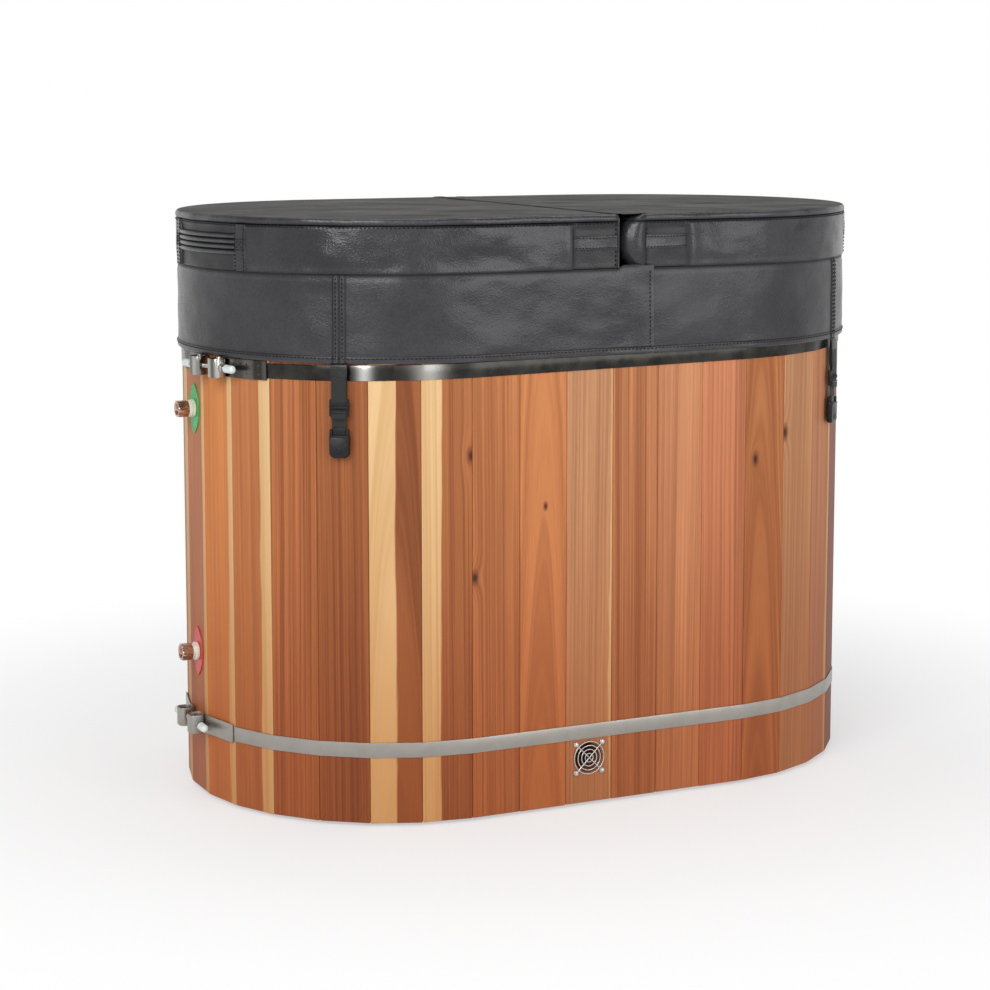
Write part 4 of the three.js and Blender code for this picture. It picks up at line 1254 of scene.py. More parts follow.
def hoops():
    for name, z in HOOP_LEVELS.items():
        level = Matrix.Translation((0, 0, z)) @ Matrix.Rotation(-HOOP_TILTS[name], 4, "Y")
        clamp = clamp_place(CLAMP_TURNS[name])
        half = HOOP_MOUTH / 2 / PITCH
        path = face_path(clamp + half, clamp + STAVES - half, GAP + HOOP_THICK / 2)
        finish, lug_finish = HOOP_FINISHES[name]
        band = strip(f"{name}_hoop_band", path, HOOP_WIDTH, HOOP_THICK, finish)
        band.data.transform(level)
        set_piece(band, "tub", "stainless", f"{name}_hoop")
        for end, side in (("back", -1), ("front", 1)):
            node = f"{name}_lug_{end}"
            roll = lug(node + "_roll", clamp, side, lug_finish)
            roll.data.transform(level)
            set_piece(roll, "tub", "stainless", node)
            welds = tail_welds(node + "_welds", clamp, side, lug_finish)
            welds.data.transform(level)
            set_piece(welds, "tub", "stainless")
        clamp_rod(name, clamp, level)


hoops()


# Plumbing ports
def leaf_tag(name, place, material):
    """A pointed oval plate with a raised rim, drilled for the bush."""
    half = TAG_HEIGHT / 2
    radius = (half ** 2 + (TAG_WIDTH / 2) ** 2) / TAG_WIDTH
    reach = math.degrees(math.asin(half / radius))
    shift = radius - TAG_WIDTH / 2
    edge = arc(-shift, 0, radius, -reach, reach, 28)[:-1]
    edge += arc(shift, 0, radius, 180 - reach, 180 + reach, 28)[:-1]
    levels = [(1.0, 0.0), (1.0, 0.0014), (0.985, 0.0019), (0.95, 0.0020), (0.93, 0.0017), (0.90, 0.00165)]
    rings = []
    for scale, out in levels:
        rings.append([place @ Vector((x * scale, -GAP - out, z * scale)) for x, z in edge])
    hole = STEM_RADIUS + GAP
    round_off = [Vector((x, z)).normalized() * hole for x, z in edge]
    rings.append([place @ Vector((p.x, -GAP - 0.00165, p.y)) for p in round_off])
    rings.append([place @ Vector((p.x, -GAP, p.y)) for p in round_off])
    return loft(name, rings, material, closed=True, sharp=40.0)


def port(name, material, slot):
    """Tag plate, collared bush, the locknut inside and the hexagon adapter with its threaded mouth."""
    place = face_frame(PORT_STAVE, 0, PORT_LEVELS[name])
    tag_out = GAP + TAG_THICK
    set_piece(leaf_tag(f"{name}_tag_leaf", place, material), "tub", slot, f"{name}_port_tag")
    low = tag_out + GAP
    high = low + COLLAR_THICK
    deep = -STAVE_THICK - GAP - LOCKNUT_THICK
    stem = [(BUSH_BORE, deep), (STEM_RADIUS, deep), (STEM_RADIUS, low), (COLLAR_RADIUS, low)]
    collar = [(COLLAR_RADIUS + widen, low + rise) for widen, rise in COLLAR_RIBS[name]]
    profile = stem + collar + [(BUSH_BORE, high), (BUSH_BORE, deep)]
    bush = turned(f"{name}_collared_bush", profile, place, NYLON, 64, sharp=50.0)
    set_piece(bush, "tub", "nylon_white", f"{name}_port_bush")
    inside = place @ Matrix.Translation((0, STAVE_THICK + GAP + LOCKNUT_THICK, 0))
    bore = STEM_RADIUS + GAP
    nut = hex_nut(f"{name}_locknut_hex", inside, LOCKNUT_FLATS, LOCKNUT_THICK, bore, NYLON, math.pi / 6)
    set_piece(nut, "tub", "nylon_white", f"{name}_port_locknut")
    hex_in = high + GAP
    hex_out = hex_in + ADAPTER_LENGTH
    tip = ADAPTER_FLATS / math.sqrt(3)
    spigot_in = hex_in - SPIGOT_LENGTH
    mouth = [(tip - ADAPTER_CHAMFER, hex_out), (ADAPTER_MOUTH + 0.0012, hex_out)]
    mouth.append((ADAPTER_MOUTH, hex_out - 0.0012))
    for i in range(MOUTH_TURNS):
        turn_at = hex_out - 0.0022 - i * MOUTH_PITCH
        mouth += [(ADAPTER_MOUTH - 0.0007, turn_at), (ADAPTER_MOUTH, turn_at - 0.0008)]
    mouth.append((ADAPTER_BORE, hex_out - ADAPTER_MOUTH_DEPTH))
    profile = [(ADAPTER_BORE, spigot_in), (BUSH_BORE - GAP, spigot_in), (BUSH_BORE - GAP, hex_in),
               (tip - ADAPTER_CHAMFER, hex_in), (tip, hex_in + 0.0012), (tip, hex_out - 0.0014)]
    profile += mouth + [profile[0]]
    adapter = turned(f"{name}_hex_adapter", profile, place, BRONZE, 72, ADAPTER_FLATS, math.pi / 6)
    set_piece(adapter, "tub", "bronze", f"{name}_port_adapter")


port("upper", TAG_GREEN, "tag_green")
port("lower", TAG_RED, "tag_red")


# Vent guard
def ring_path(place, cx, cz, radius, out, steps):
    turns = [2 * math.pi * i / steps for i in range(steps)]
    return [place @ Vector((cx + radius * math.cos(t), -out, cz + radius * math.sin(t))) for t in turns]


def vent_guard():
    """Wire rings on two crossing wires, with a screw in the loop at each of their ends."""
    place = face_frame(VENT_STAVE, 0, VENT_LEVEL)
    out = GAP + GUARD_WIRE
    half = GUARD_SCREWS / 2
    parts = []
    for radius in GUARD_RINGS:
        path = ring_path(place, 0, 0, radius, out, 56)
        parts.append(tube("vent_wire", path, GUARD_WIRE, ROD_STEEL, True))
    reach = half - GUARD_LOOP / math.sqrt(2)
    for side in (-1, 1):
        path = [place @ Vector((t * reach, -out - 0.0009, side * t * reach)) for t in (-1, -0.4, 0, 0.4, 1)]
        parts.append(tube("vent_wire", path, GUARD_WIRE, ROD_STEEL))
        for end in (-1, 1):
            path = ring_path(place, side * half, end * half, GUARD_LOOP, out, 20)
            parts.append(tube("vent_wire", path, GUARD_WIRE, ROD_STEEL, True))
    set_piece(joined("vent_wire_guard", parts), "tub", "stainless", "vent_guard")
    head = [(0.0004, 0.0033), (0.0022, 0.0031), (0.0036, 0.0024), (0.0042, 0.0014), (0.0042, 0.0)]
    head.append((0.0018, -0.004))
    screw = turned("screw", head, Matrix.Identity(4), ROD_STEEL, 20, sharp=50.0)
    cut_out(screw, mesh_object("slot", *box_mesh(0.0064, 0.0016, 0.0010, (0, -0.0033, 0)), ROD_STEEL))
    verts = [place @ Vector((x * half, -0.0014, z * half)) for x in (-1, 1) for z in (-1, 1)]
    screws = copies("vent_screws", verts, screw, face_angle(int(VENT_STAVE)), ROD_STEEL)
    set_piece(screws, "tub", "stainless")
    bpy.data.objects.remove(screw)


vent_guard()


# Cover: lid halves in vinyl jackets
def lid_run(half):
    """Where a half's outer side starts and ends along the wall."""
    if half == "right":
        return RIGHT_START, 2 * QUARTER - RIGHT_START
    start = FOLD_ENDS["left"] - FOLD_CORNER
    return 2 * QUARTER - start, PERIMETER + start


def grip_middle(half):
    return QUARTER - GRIP_SHIFT if half == "right" else 3 * QUARTER + GRIP_SHIFT


def lid_distances(half, along):
    """How far a place on a half's side is from the fold, and from the middle of its grip."""
    start, end = lid_run(half)
    return min(along - start, end - along) + FOLD_CORNER, abs(along - grip_middle(half))


def lid_slack(half, along, z):
    """How far the vinyl stands off the lid's plain side: dents, panels at the handles, gathers by them."""
    from_fold, from_grip = lid_distances(half, along)
    share = min(1.0, max(0.0, (z - LID_LOW) / (SEAM_Z - LID_LOW)))
    body = math.sin(math.pi * share)
    dents = noise.noise((along * 7.0, z * 15.0, 3.1)) * 0.0036
    dents += noise.noise((along * 16.0 + z * 22.0, z * 30.0, 8.2)) * 0.0014
    calm = 0.25 + 0.75 * smooth(from_grip, 0.123, 0.18) * smooth(from_fold, 0.10, 0.15)
    stand = dents * math.sqrt(body) * calm + 0.0014 * body + 0.0011 * ridge(share, 0.10)
    below_seam = 1 - smooth(z, SEAM_Z - 0.011, SEAM_Z - 0.003)
    stand -= 0.0030 * (1 - smooth(from_fold, POCKET - 0.005, POCKET)) * below_seam
    stand -= 0.0022 * (1 - smooth(from_grip, GRIP_REACH - 0.008, GRIP_REACH - 0.003)) * below_seam
    past = from_fold - POCKET
    if past > 0:
        puff = 0.0034 * math.exp(-past / 0.018) * smooth(past, -0.002, 0.004)
        ripple = 0.0014 * math.sin(past / 0.0062) * math.exp(-past / 0.030)
        stand += (puff + ripple) * body ** 0.6
    return stand


def lid_shade(half, along, z):
    """Painted shade in the seams, the pockets and under the edge; painted highlights on the rolled edge and
    the puffs.
    """
    from_fold, from_grip = lid_distances(half, along)
    below_seam = 1 - smooth(z, SEAM_Z - 0.007, SEAM_Z - 0.002)
    seam = 0.9 * ridge(z - SEAM_Z, 0.0018)
    foot = 1 - smooth(z, LID_LOW + 0.0015, LID_LOW + 0.0070)
    edge = 0.95 * ridge(from_fold - POCKET + 0.0015, 0.0028) * below_seam
    pocket = 0.45 * (1 - smooth(from_fold, POCKET - 0.005, POCKET)) * below_seam
    panel = 0.55 * (1 - smooth(from_grip, GRIP_REACH - 0.006, GRIP_REACH)) * below_seam
    dark = max(seam, foot, edge, pocket, panel)
    # Painted highlights on the rolled top edge, the puffs and the lip over the lower edge
    roll = 0.8 * smooth(z, SEAM_Z + 0.003, SEAM_Z + 0.006)
    puff = 0.5 * ridge(from_fold - POCKET - 0.008, 0.005) * below_seam
    lip = 0.5 * ridge(z - LID_LOW - 0.0105, 0.003)
    return dark - max(roll, puff, lip) * (1 - min(1.0, dark * 1.5))


def fold_puff(half, across, z):
    """The padded end inside the fold, held in by the seams round it; the right one nearly fills the gap."""
    share = min(1.0, max(0.0, (z - LID_LOW) / (LID_TOP - LID_LOW)))
    held = smooth(FOLD_REACH - abs(across), -0.016, 0.006)
    crumple = noise.noise((across * 14.0, z * 22.0, 5.5)) * 0.0022
    crumple += noise.noise((across * 40.0 + z * 30.0, z * 45.0, 2.2)) * 0.0008
    return held * math.sin(math.pi * share) ** 0.55 * (FOLD_BULGES[half] + crumple)


def fold_corner(half, x, y, degrees, share):
    """A station on the corner; share runs from none at the outer side to 1 at the fold."""
    facing = Vector((math.cos(math.radians(degrees)), math.sin(math.radians(degrees)), 0))
    # Painted shade in the crease where the corner leaves the side, fading to a painted highlight towards the
    # fold
    shade = 0.95 * ridge(share - 0.3, 0.16) - 0.3 * share

    def slack(z):
        return fold_puff(half, y, z) * share ** 1.5 - 0.0008

    return Vector((x, y, 0)) + facing * FOLD_CORNER, facing, slack, lambda z: shade


def lid_stations(half):
    """Round a half's plan: place, facing, and functions of height for the slack and the shade there."""
    start, end = lid_run(half)
    stations = []
    for along in evenly(start, end, round((end - start) / STATION_PITCH)):
        point, angle = wall(along, COVER_OFFSET)
        facing = Vector((math.sin(angle), -math.cos(angle), 0))
        stations.append((point, facing, partial(lid_slack, half, along), partial(lid_shade, half, along)))
    side = SIDES[half]
    corner = partial(fold_corner, half, FOLD_ENDS[half] + side * FOLD_CORNER)
    first = 90 if half == "right" else 270
    step = 90 / FOLD_TURNS
    for turn in range(1, FOLD_TURNS + 1):
        stations.append(corner(side * FOLD_REACH, first + turn * step, turn / FOLD_TURNS))
    for i in range(1, FOLD_STEPS):
        across = side * FOLD_REACH * (1 - 2 * i / FOLD_STEPS)
        point = Vector((FOLD_ENDS[half], across, 0))
        # The fold end takes a light painted highlight
        stations.append((point, Vector((-side, 0, 0)), partial(fold_puff, half, across), lambda z: -0.3))
    for turn in range(FOLD_TURNS):
        stations.append(corner(-side * FOLD_REACH, first + 90 + turn * step, 1 - turn / FOLD_TURNS))
    return stations


def lid_levels():
    """Heights up the side and how far each is drawn in: lower edge, side, seam groove, rolled top edge."""
    first = LID_LOW + LID_EDGE
    levels = [(first + y, LID_EDGE - x) for x, y in arc(0, 0, LID_EDGE, -90, 0, 6)]
    levels += [(z, 0.0) for z in evenly(first, SEAM_Z - 0.0016, 17)[1:]]
    groove = ((-0.0008, 0.0008), (0.0, 0.0022), (0.0008, 0.0006), (0.0017, -0.0008), (0.0040, -0.0016))
    levels += [(SEAM_Z + rise, inset) for rise, inset in groove]
    levels += [(LID_TOP - LID_ROLL + y, LID_ROLL - x - 0.0014) for x, y in arc(0, 0, LID_ROLL, 0, 90, 6)]
    return levels


def lid_jacket(half):
    """The padded jacket: its dented side, rolled edge and slack top."""
    stations = lid_stations(half)
    rings = []
    shades = []
    for z, inset in lid_levels():
        fade = smooth(LID_TOP - z, 0.0, 0.010) * smooth(z, LID_LOW - 0.001, LID_LOW + 0.003)
        slack_at = z if z <= SEAM_Z + 0.002 else SEAM_Z
        ring = []
        for point, facing, slack, shade in stations:
            shades.append(shade(z))
            ring.append(point + facing * (slack(slack_at) * fade - inset) + Vector((0, 0, z)))
        rings.append(ring)
    rim = rings[-1]
    low, high = sorted((FOLD_ENDS[half] + SIDES[half] * SPINE_START, SIDES[half] * FLAT_HALF))
    for share in TOP_RINGS:
        ring = []
        for point in rim:
            spine = Vector((min(high, max(low, point.x)), 0, LID_TOP))
            spot = point.lerp(spine, share)
            sag = noise.noise((spot.x * 5.0, spot.y * 8.0, 2.6)) * 0.0011
            sag += noise.noise((spot.x * 9.0 + spot.y * 5.0, spot.y * 24.0, 6.1)) * 0.0005
            spot.z = LID_TOP + 0.0012 * smooth(share, 0.0, 0.3) + sag * smooth(share, 0.0, 0.08)
            ring.append(spot)
            shades.append(0.0)
        rings.append(ring)
    obj = loft(f"lid_{half}_jacket", rings, VINYL_SIDE, sharp=55.0)
    set_shade(obj, shades)
    obj.data.materials.append(VINYL_TOP)
    for polygon in obj.data.polygons:
        if polygon.center.z > LID_TOP - 0.0007:
            polygon.material_index = 1
    set_piece(obj, f"lid_{half}", "vinyl", f"lid_jacket_{half}")


def lid_core(half):
    """The bead foam board inside a jacket, with its edges trimmed round."""
    low = LID_LOW + CORE_INSET + CORE_TRIM
    high = LID_TOP - CORE_INSET - CORE_TRIM
    levels = [(low + y, CORE_TRIM - x) for x, y in arc(0, 0, CORE_TRIM, -90, 0, 3)]
    levels += [(high + y, CORE_TRIM - x) for x, y in arc(0, 0, CORE_TRIM, 0, 90, 3)]
    stations = lid_stations(half)
    rings = []
    for z, inset in levels:
        rise = Vector((0, 0, z))
        rings.append([point - facing * (CORE_INSET + inset) + rise for point, facing, *_ in stations])
    set_piece(loft(f"lid_{half}_core", rings, FOAM), f"lid_{half}", "foam", f"lid_foam_{half}")


def along_wall(name, alongs, section_at, material, sharp, shade_at=None):
    """Closed upright sections of offsets and heights, joined along the wall."""
    rings = [[wall_point(along, offset, z) for offset, z in section_at(along)] for along in alongs]
    obj = loft(name, rings, material, sharp=sharp)
    if shade_at:
        set_shade(obj, [shade for along in alongs for shade in shade_at(along)])
    return obj


def on_lid(half, along, z, proud):
    return wall_point(along, COVER_OFFSET + lid_slack(half, along, z) + proud, z)


def grip(half):
    """The ribbed grip on a half's end, held under two stitched bands."""
    pole = grip_middle(half)
    low = HANDLE_Z - GRIP_HEIGHT / 2
    steps = GRIP_RIBS * RIB_STEPS
    tops = [abs(math.sin(math.pi * i / RIB_STEPS)) for i in range(steps + 1)]

    def ribs(along):
        bow = 0.0036 * (1 - ((along - pole) / GRIP_REACH) ** 2)
        inner = COVER_OFFSET - 0.0012
        section = [(inner, low)]
        for i, top in enumerate(tops):
            outer = COVER_OFFSET - 0.0004 + bow + 0.0042 * top ** 0.55
            section.append((outer, low + GRIP_HEIGHT * i / steps))
        return section + [(inner, low + GRIP_HEIGHT)]

    # Painted shade in the grooves and on the hidden sides, painted highlights on the rib tops
    def rib_shade(_):
        return [1.0] + [0.95 - 2.1 * top ** 2 for top in tops] + [1.0]

    alongs = evenly(pole - GRIP_REACH, pole + GRIP_REACH, 40)
    parts = [along_wall(f"lid_{half}_grip", alongs, ribs, VINYL_GRIP, 70.0, rib_shade)]
    rows = []
    for side in (-1, 1):
        middle = pole + side * (GRIP_REACH + 0.0075)

        def band(along):
            edge = 0.0024 * (1 - abs((along - middle) / GRIP_BAND) ** 8) + 0.0002
            heights = evenly(LID_LOW + 0.0040, SEAM_Z - 0.0012, 12)
            outer = [(COVER_OFFSET + lid_slack(half, along, z) + edge, z) for z in heights]
            return outer + [(COVER_OFFSET - 0.0020, z) for z in reversed(heights)]

        alongs = evenly(middle - GRIP_BAND, middle + GRIP_BAND, 14)
        parts.append(along_wall("grip_band", alongs, band, VINYL_SIDE, 60.0))
        for inset in (-0.0094, 0.0094):
            heights = evenly(LID_LOW + 0.0055, SEAM_Z - 0.003, 30)
            rows.append([on_lid(half, middle + inset, z, 0.0027) for z in heights])
        box = GRIP_CROSS
        corners = [(-box, -box), (box, -box), (box, box), (-box, box), (-box, -box)]
        lines = list(zip(corners, corners[1:])) + [(corners[0], corners[2]), (corners[1], corners[3])]
        for (x1, z1), (x2, z2) in lines:
            points = zip(evenly(x1, x2, 8), evenly(z1, z2, 8))
            rows.append([on_lid(half, middle + x, HANDLE_Z + z, 0.0029) for x, z in points])
    set_piece(joined(f"lid_{half}_grip", parts), f"lid_{half}", "vinyl", f"lid_jacket_{half}")
    stitches(f"lid_{half}_grip_stitches", rows, f"lid_{half}", FINE_STITCH)


def pulls(half):
    """Flat stitched pulls beside the fold, on the front and on the back."""
    start, end = lid_run(half)
    tall = PULL_HEIGHT / 2
    heights = evenly(-tall, tall, 10)
    parts = []
    rows = []
    for first, way in ((start, 1), (end, -1)):
        def stand(along):
            share = abs(along - first) / PULL_LENGTH
            bow = 0.0030 * math.sin(math.pi * share) - 0.0016 * smooth(share, 0.9, 1.0)
            return COVER_OFFSET + 0.0006 + bow

        def pull(along):
            outer = stand(along)
            face = []
            for z in heights:
                rim = smooth(tall - abs(z), 0.0, 0.0012)
                edge = 0.0004 * (1 - smooth(tall - abs(z), 0.0030, 0.0042))
                face.append((outer - 0.0008 * (1 - rim) + edge, HANDLE_Z + z))
            return face + [(outer - 0.0024, HANDLE_Z + z) for z in reversed(heights)]

        # Painted highlight on the pull's face, painted shade at its edges and on its back
        def pull_shade(_):
            return [0.3, -0.2] + [-0.7] * 7 + [-0.2, 0.3] + [1.0] * 11

        alongs = evenly(first - way * 0.002, first + way * PULL_LENGTH, 22)
        parts.append(along_wall("pull", alongs, pull, VINYL_SIDE, 50.0, pull_shade))
        for z in (-tall + 0.0032, tall - 0.0032):
            rows.append([wall_point(along, stand(along) + 0.0004, HANDLE_Z + z) for along in alongs[1:-1]])
    set_piece(joined(f"lid_{half}_pulls", parts), f"lid_{half}", "vinyl", f"lid_jacket_{half}")
    stitches(f"lid_{half}_pull_stitches", rows, f"lid_{half}", FINE_STITCH)


def lid_seams(half):
    """Stitching under the rolled edge, and the welt and zip of the fold end."""
    start, end = lid_run(half)
    rows = [[on_lid(half, along, SEAM_Z - 0.0030, 0.0003) for along in evenly(start, end, 400)]]
    side = SIDES[half]
    lean = FOLD_CORNER * math.sqrt(0.5)
    x = FOLD_ENDS[half] + side * (FOLD_CORNER - lean)
    beside = x + side * 0.0052
    heights = evenly(LID_LOW + 0.004, LID_TOP - 0.006, 16)
    parts = []
    for way in (-1, 1):
        cord = [Vector((x, way * (FOLD_REACH + lean), h)) for h in heights]
        parts.append(tube("welt", cord, WELT_RADIUS, VINYL_SIDE))
        rows.append([Vector((beside, way * (FOLD_REACH + FOLD_CORNER - 0.0004), h)) for h in heights[1:-1]])
    set_piece(joined(f"lid_{half}_welts", parts), f"lid_{half}", "vinyl")
    stitches(f"lid_{half}_edge_stitches", rows, f"lid_{half}")
    zip_z = (LID_LOW + LID_TOP) / 2
    rows = []
    for rise in (-0.0016, 0.0016):
        row = []
        for y in evenly(-FOLD_REACH + 0.03, FOLD_REACH - 0.03, 120):
            proud = fold_puff(half, y, zip_z) + 0.0004
            row.append(Vector((FOLD_ENDS[half] - side * proud, y, zip_z + rise)))
        rows.append(row)
    stitches(f"lid_{half}_zip", rows, f"lid_{half}", ZIP_TOOTH, "black_plastic")


def fold_strip():
    """The vinyl hinge over the fold: a free edge on the left half, feathered into the right."""
    left = FOLD_ENDS["left"] - STRIP_LAP
    right = FOLD_ENDS["right"] + STRIP_LAP
    reach = END_RADIUS + COVER_OFFSET - 0.006
    columns = evenly(left, right, 44)
    rows = evenly(-reach, reach, 60)
    low = LID_TOP + GAP
    top = []
    under = []
    for y in rows:
        for x in columns:
            gap = smooth(x - FOLD_ENDS["left"], 0.0, 0.012) * smooth(FOLD_ENDS["right"] - x, 0.0, 0.012)
            sag = -0.0011 * gap * (0.8 + 0.5 * noise.noise((x * 14.0, y * 11.0, 4.0)))
            thick = STRIP_THICK * (0.25 + 0.75 * smooth(right - x, 0.0, 0.03))
            thick *= 0.35 + 0.65 * smooth(x - left, 0.0, 0.0016)
            thick *= 0.3 + 0.7 * smooth(reach - abs(y), 0.0, 0.003)
            top.append(Vector((x, y, low + sag + thick)))
            under.append(Vector((x, y, low + sag)))
    wide = len(columns)
    tall = len(rows)
    count = wide * tall
    faces = []
    for j in range(tall - 1):
        for a in range(j * wide, j * wide + wide - 1):
            quad = (a, a + 1, a + wide + 1, a + wide)
            faces += [quad, tuple(count + k for k in reversed(quad))]
    rim = list(range(wide)) + [j * wide + wide - 1 for j in range(1, tall)]
    rim += [(tall - 1) * wide + i for i in range(wide - 2, -1, -1)]
    rim += [j * wide for j in range(tall - 2, 0, -1)]
    faces += [(b, a, count + a, count + b) for a, b in zip(rim, rim[1:] + rim[:1])]
    obj = mesh_object("fold_strip_hinge", top + under, faces, VINYL_TOP, 50.0)
    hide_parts("fold_strip")
    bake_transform(obj)


for lid_half in ("left", "right"):
    for make in (lid_jacket, grip, pulls, lid_seams, lid_core):
        make(lid_half)
fold_strip()


# Skirts
def hem_offset(along):
    turn = 2 * math.pi * SKIRT_WAVES * along / PERIMETER
    return COVER_CLEARANCE + SKIRT_FLARE + SKIRT_WAVE * math.sin(turn)


def past_middle(along):
    """How far the left skirt has run past the tub's middle, on the front or on the back."""
    return abs(along - 3 * QUARTER) - QUARTER


def lap_share(half, along):
    """From none to a full lap, where the left skirt passes the fold."""
    return smooth(past_middle(along), RIGHT_START - LAP_RAMP, RIGHT_START) if half == "left" else 0.0


def skirt_top(half, along):
    """The left skirt's flap reaches up past the fold."""
    first = FOLD_ENDS["left"]
    rise = smooth(past_middle(along), first - 0.002, first + 0.006) if half == "left" else 0.0
    return SKIRT_TOP + 0.0028 + 0.0060 * rise


def skirt_inner(half, along, share):
    hem = hem_offset(along)
    return hem + (COVER_CLEARANCE - hem) * share + LAP_LIFT * lap_share(half, along)


def skirt_seams(half):
    return [along for name, along in STRAPS.items() if name.endswith(half)]


def skirt_thick(half, along, above_hem, below_top, z):
    """The vinyl's outer side: hem fold, sewn seam bands, soft drape and rounded edges."""
    thick = 0.0017 + 0.0010 * (1 - smooth(above_hem, HEM_FOLD - 0.0006, HEM_FOLD + 0.0006))
    for seam in skirt_seams(half):
        from_seam = abs(along - seam)
        thick += 0.0020 * (1 - smooth(from_seam, SEAM_BAND - 0.0018, SEAM_BAND))
        thick -= 0.0014 * ridge(from_seam, 0.0016)
    drape = noise.noise((along * 5.0, z * 9.0, 1.7)) * 0.0026
    drape += noise.noise((along * 12.0, z * 20.0, 4.4)) * 0.0013
    drape += noise.noise((along * 26.0, z * 34.0, 7.3)) * 0.0004
    tuck = 0.0014 * (1 - smooth(below_top, 0.0, 0.014)) * (1 - lap_share(half, along))
    thick += (drape + 0.0006) * smooth(below_top, 0.004, 0.04) * smooth(above_hem, 0.004, 0.03) - tuck
    thin = 2 - smooth(above_hem, -0.0004, 0.0016) - smooth(below_top, -0.0004, 0.0022)
    return max(0.0006, thick * (1 - 0.6 * thin))


def skirt_shade(half, along, above_hem, below_top):
    """Painted shade under the lid, beside the hem fold and in the seams; painted highlights along the free
    edges.
    """
    dark = 0.95 * (1 - smooth(below_top, 0.0015, 0.0060)) * (1 - lap_share(half, along))
    dark = max(dark, 0.8 * ridge(above_hem - HEM_FOLD - 0.0004, 0.0010))
    for seam in skirt_seams(half):
        from_seam = abs(along - seam)
        dark = max(dark, ridge(from_seam, 0.0014), 0.9 * ridge(from_seam - SEAM_BAND, 0.0018))
    # Painted highlights on the hem's lower edge, the rolled top and the flap's end
    pale = 0.7 * (1 - smooth(above_hem, 0.0014, 0.0040))
    pale = max(pale, 0.5 * ridge(below_top - 0.0095, 0.0025))
    if half == "left":
        pale = max(pale, 1.1 * (1 - smooth(LAP_END - past_middle(along), 0.0012, 0.0034)))
    return dark - pale * (1 - min(1.0, dark * 1.5))


def skirt_face(half, along, above_hem):
    """A point on the outer side, a little proud of it."""
    tall = skirt_top(half, along) - HEM_Z
    z = HEM_Z + above_hem
    offset = skirt_inner(half, along, above_hem / tall)
    offset += skirt_thick(half, along, above_hem, tall - above_hem, z)
    return wall_point(along, offset + 0.0003, z)


def skirt(half):
    """A hanging skirt with its hem, sewn seam bands and stitching; the left one laps past the fold."""
    if half == "left":
        start, end = 2 * QUARTER - LAP_END, PERIMETER + LAP_END
    else:
        start, end = RIGHT_START, 2 * QUARTER - RIGHT_START
    alongs = evenly(start, end, round((end - start) / SKIRT_PITCH))
    reaches = [0.0004, 0.0016, 0.0030] + [SEAM_BAND + past for past in (-0.0018, -0.0009, 0.0, 0.0012)]
    for seam in skirt_seams(half):
        alongs += [seam + side * reach for side in (-1, 1) for reach in reaches]
    alongs = sorted(alongs)

    def heights_at(along):
        tall = skirt_top(half, along) - HEM_Z
        above = [0, 0.0006, 0.0016, 0.004, 0.008]
        above += [HEM_FOLD - 0.0006, HEM_FOLD, HEM_FOLD + 0.0006, 0.0135]
        above += evenly(0.020, tall - 0.018, 13)
        above += [tall - d for d in (0.013, 0.0095, 0.006, 0.0035, 0.0018, 0.0008, 0)]
        return above, tall

    def shades(along):
        above, tall = heights_at(along)
        # The outer side takes the painted shade and highlights of skirt_shade; the inner side takes full
        # painted shade
        return [skirt_shade(half, along, up, tall - up) for up in above] + [1.0] * len(above)

    def section(along):
        above, tall = heights_at(along)
        inner = [(skirt_inner(half, along, up / tall), HEM_Z + up) for up in above]
        outer = []
        for up, (base, z) in zip(above, inner):
            outer.append((base + skirt_thick(half, along, up, tall - up, z), z))
        return outer + inner[::-1]

    obj = along_wall(f"skirt_{half}_sheet", alongs, section, VINYL_SKIRT, 50.0, shades)
    set_piece(obj, f"lid_{half}", "vinyl", f"skirt_{half}")
    flat = (end - start + HEM_ALLOWANCE, SKIRT_DROP + HEM_ALLOWANCE)
    rows = [[skirt_face(half, a, 0.0085) for a in evenly(start + 0.004, end - 0.004, 420)]]
    lines = [seam + side * 0.0055 for seam in skirt_seams(half) for side in (-1, 1)]
    if half == "left":
        lines += [start + 0.007, end - 0.007]
    for line in lines:
        rows.append([skirt_face(half, line, up) for up in evenly(0.012, SKIRT_DROP - 0.004, 50)])
    stitches(f"skirt_{half}_stitches", rows, f"lid_{half}")


skirt("left")
skirt("right")


# Straps and locks
def rounded_block(place, size, middle, edge):
    """A moulded block with rounded edges. Its size is along the wall, outwards and up."""
    work = bmesh.new()
    bmesh.ops.create_cube(work, size=1.0)
    bmesh.ops.scale(work, vec=size, verts=work.verts)
    bmesh.ops.bevel(work, geom=work.edges[:], offset=edge, segments=3, profile=0.5, affect="EDGES")
    bmesh.ops.translate(work, vec=middle, verts=work.verts)
    bmesh.ops.transform(work, matrix=place, verts=work.verts)
    return worked("block", work, bpy.data.meshes.new("block"), BLACK_PLASTIC, 40)


def tape(name, place, path, width, thick, material):
    """Webbing along a path of distances outwards and heights, laid flat across the wall."""
    section = rounded_rectangle(width, thick, thick * 0.45, 3)
    rings = []
    layout = []
    run = 0.0
    for i, (out, z) in enumerate(path):
        before = path[max(0, i - 1)]
        after = path[min(len(path) - 1, i + 1)]
        way = Vector((after[0] - before[0], after[1] - before[1])).normalized()
        if i:
            run += math.dist(path[i - 1], path[i])
        rings.append([place @ Vector((x, -(out + way.y * t), z - way.x * t)) for x, t in section])
        layout += [(x, run, t) for x, t in section]
    obj = loft(name, rings, material, sharp=60.0)
    set_vectors(obj, "strip", layout)
    return obj


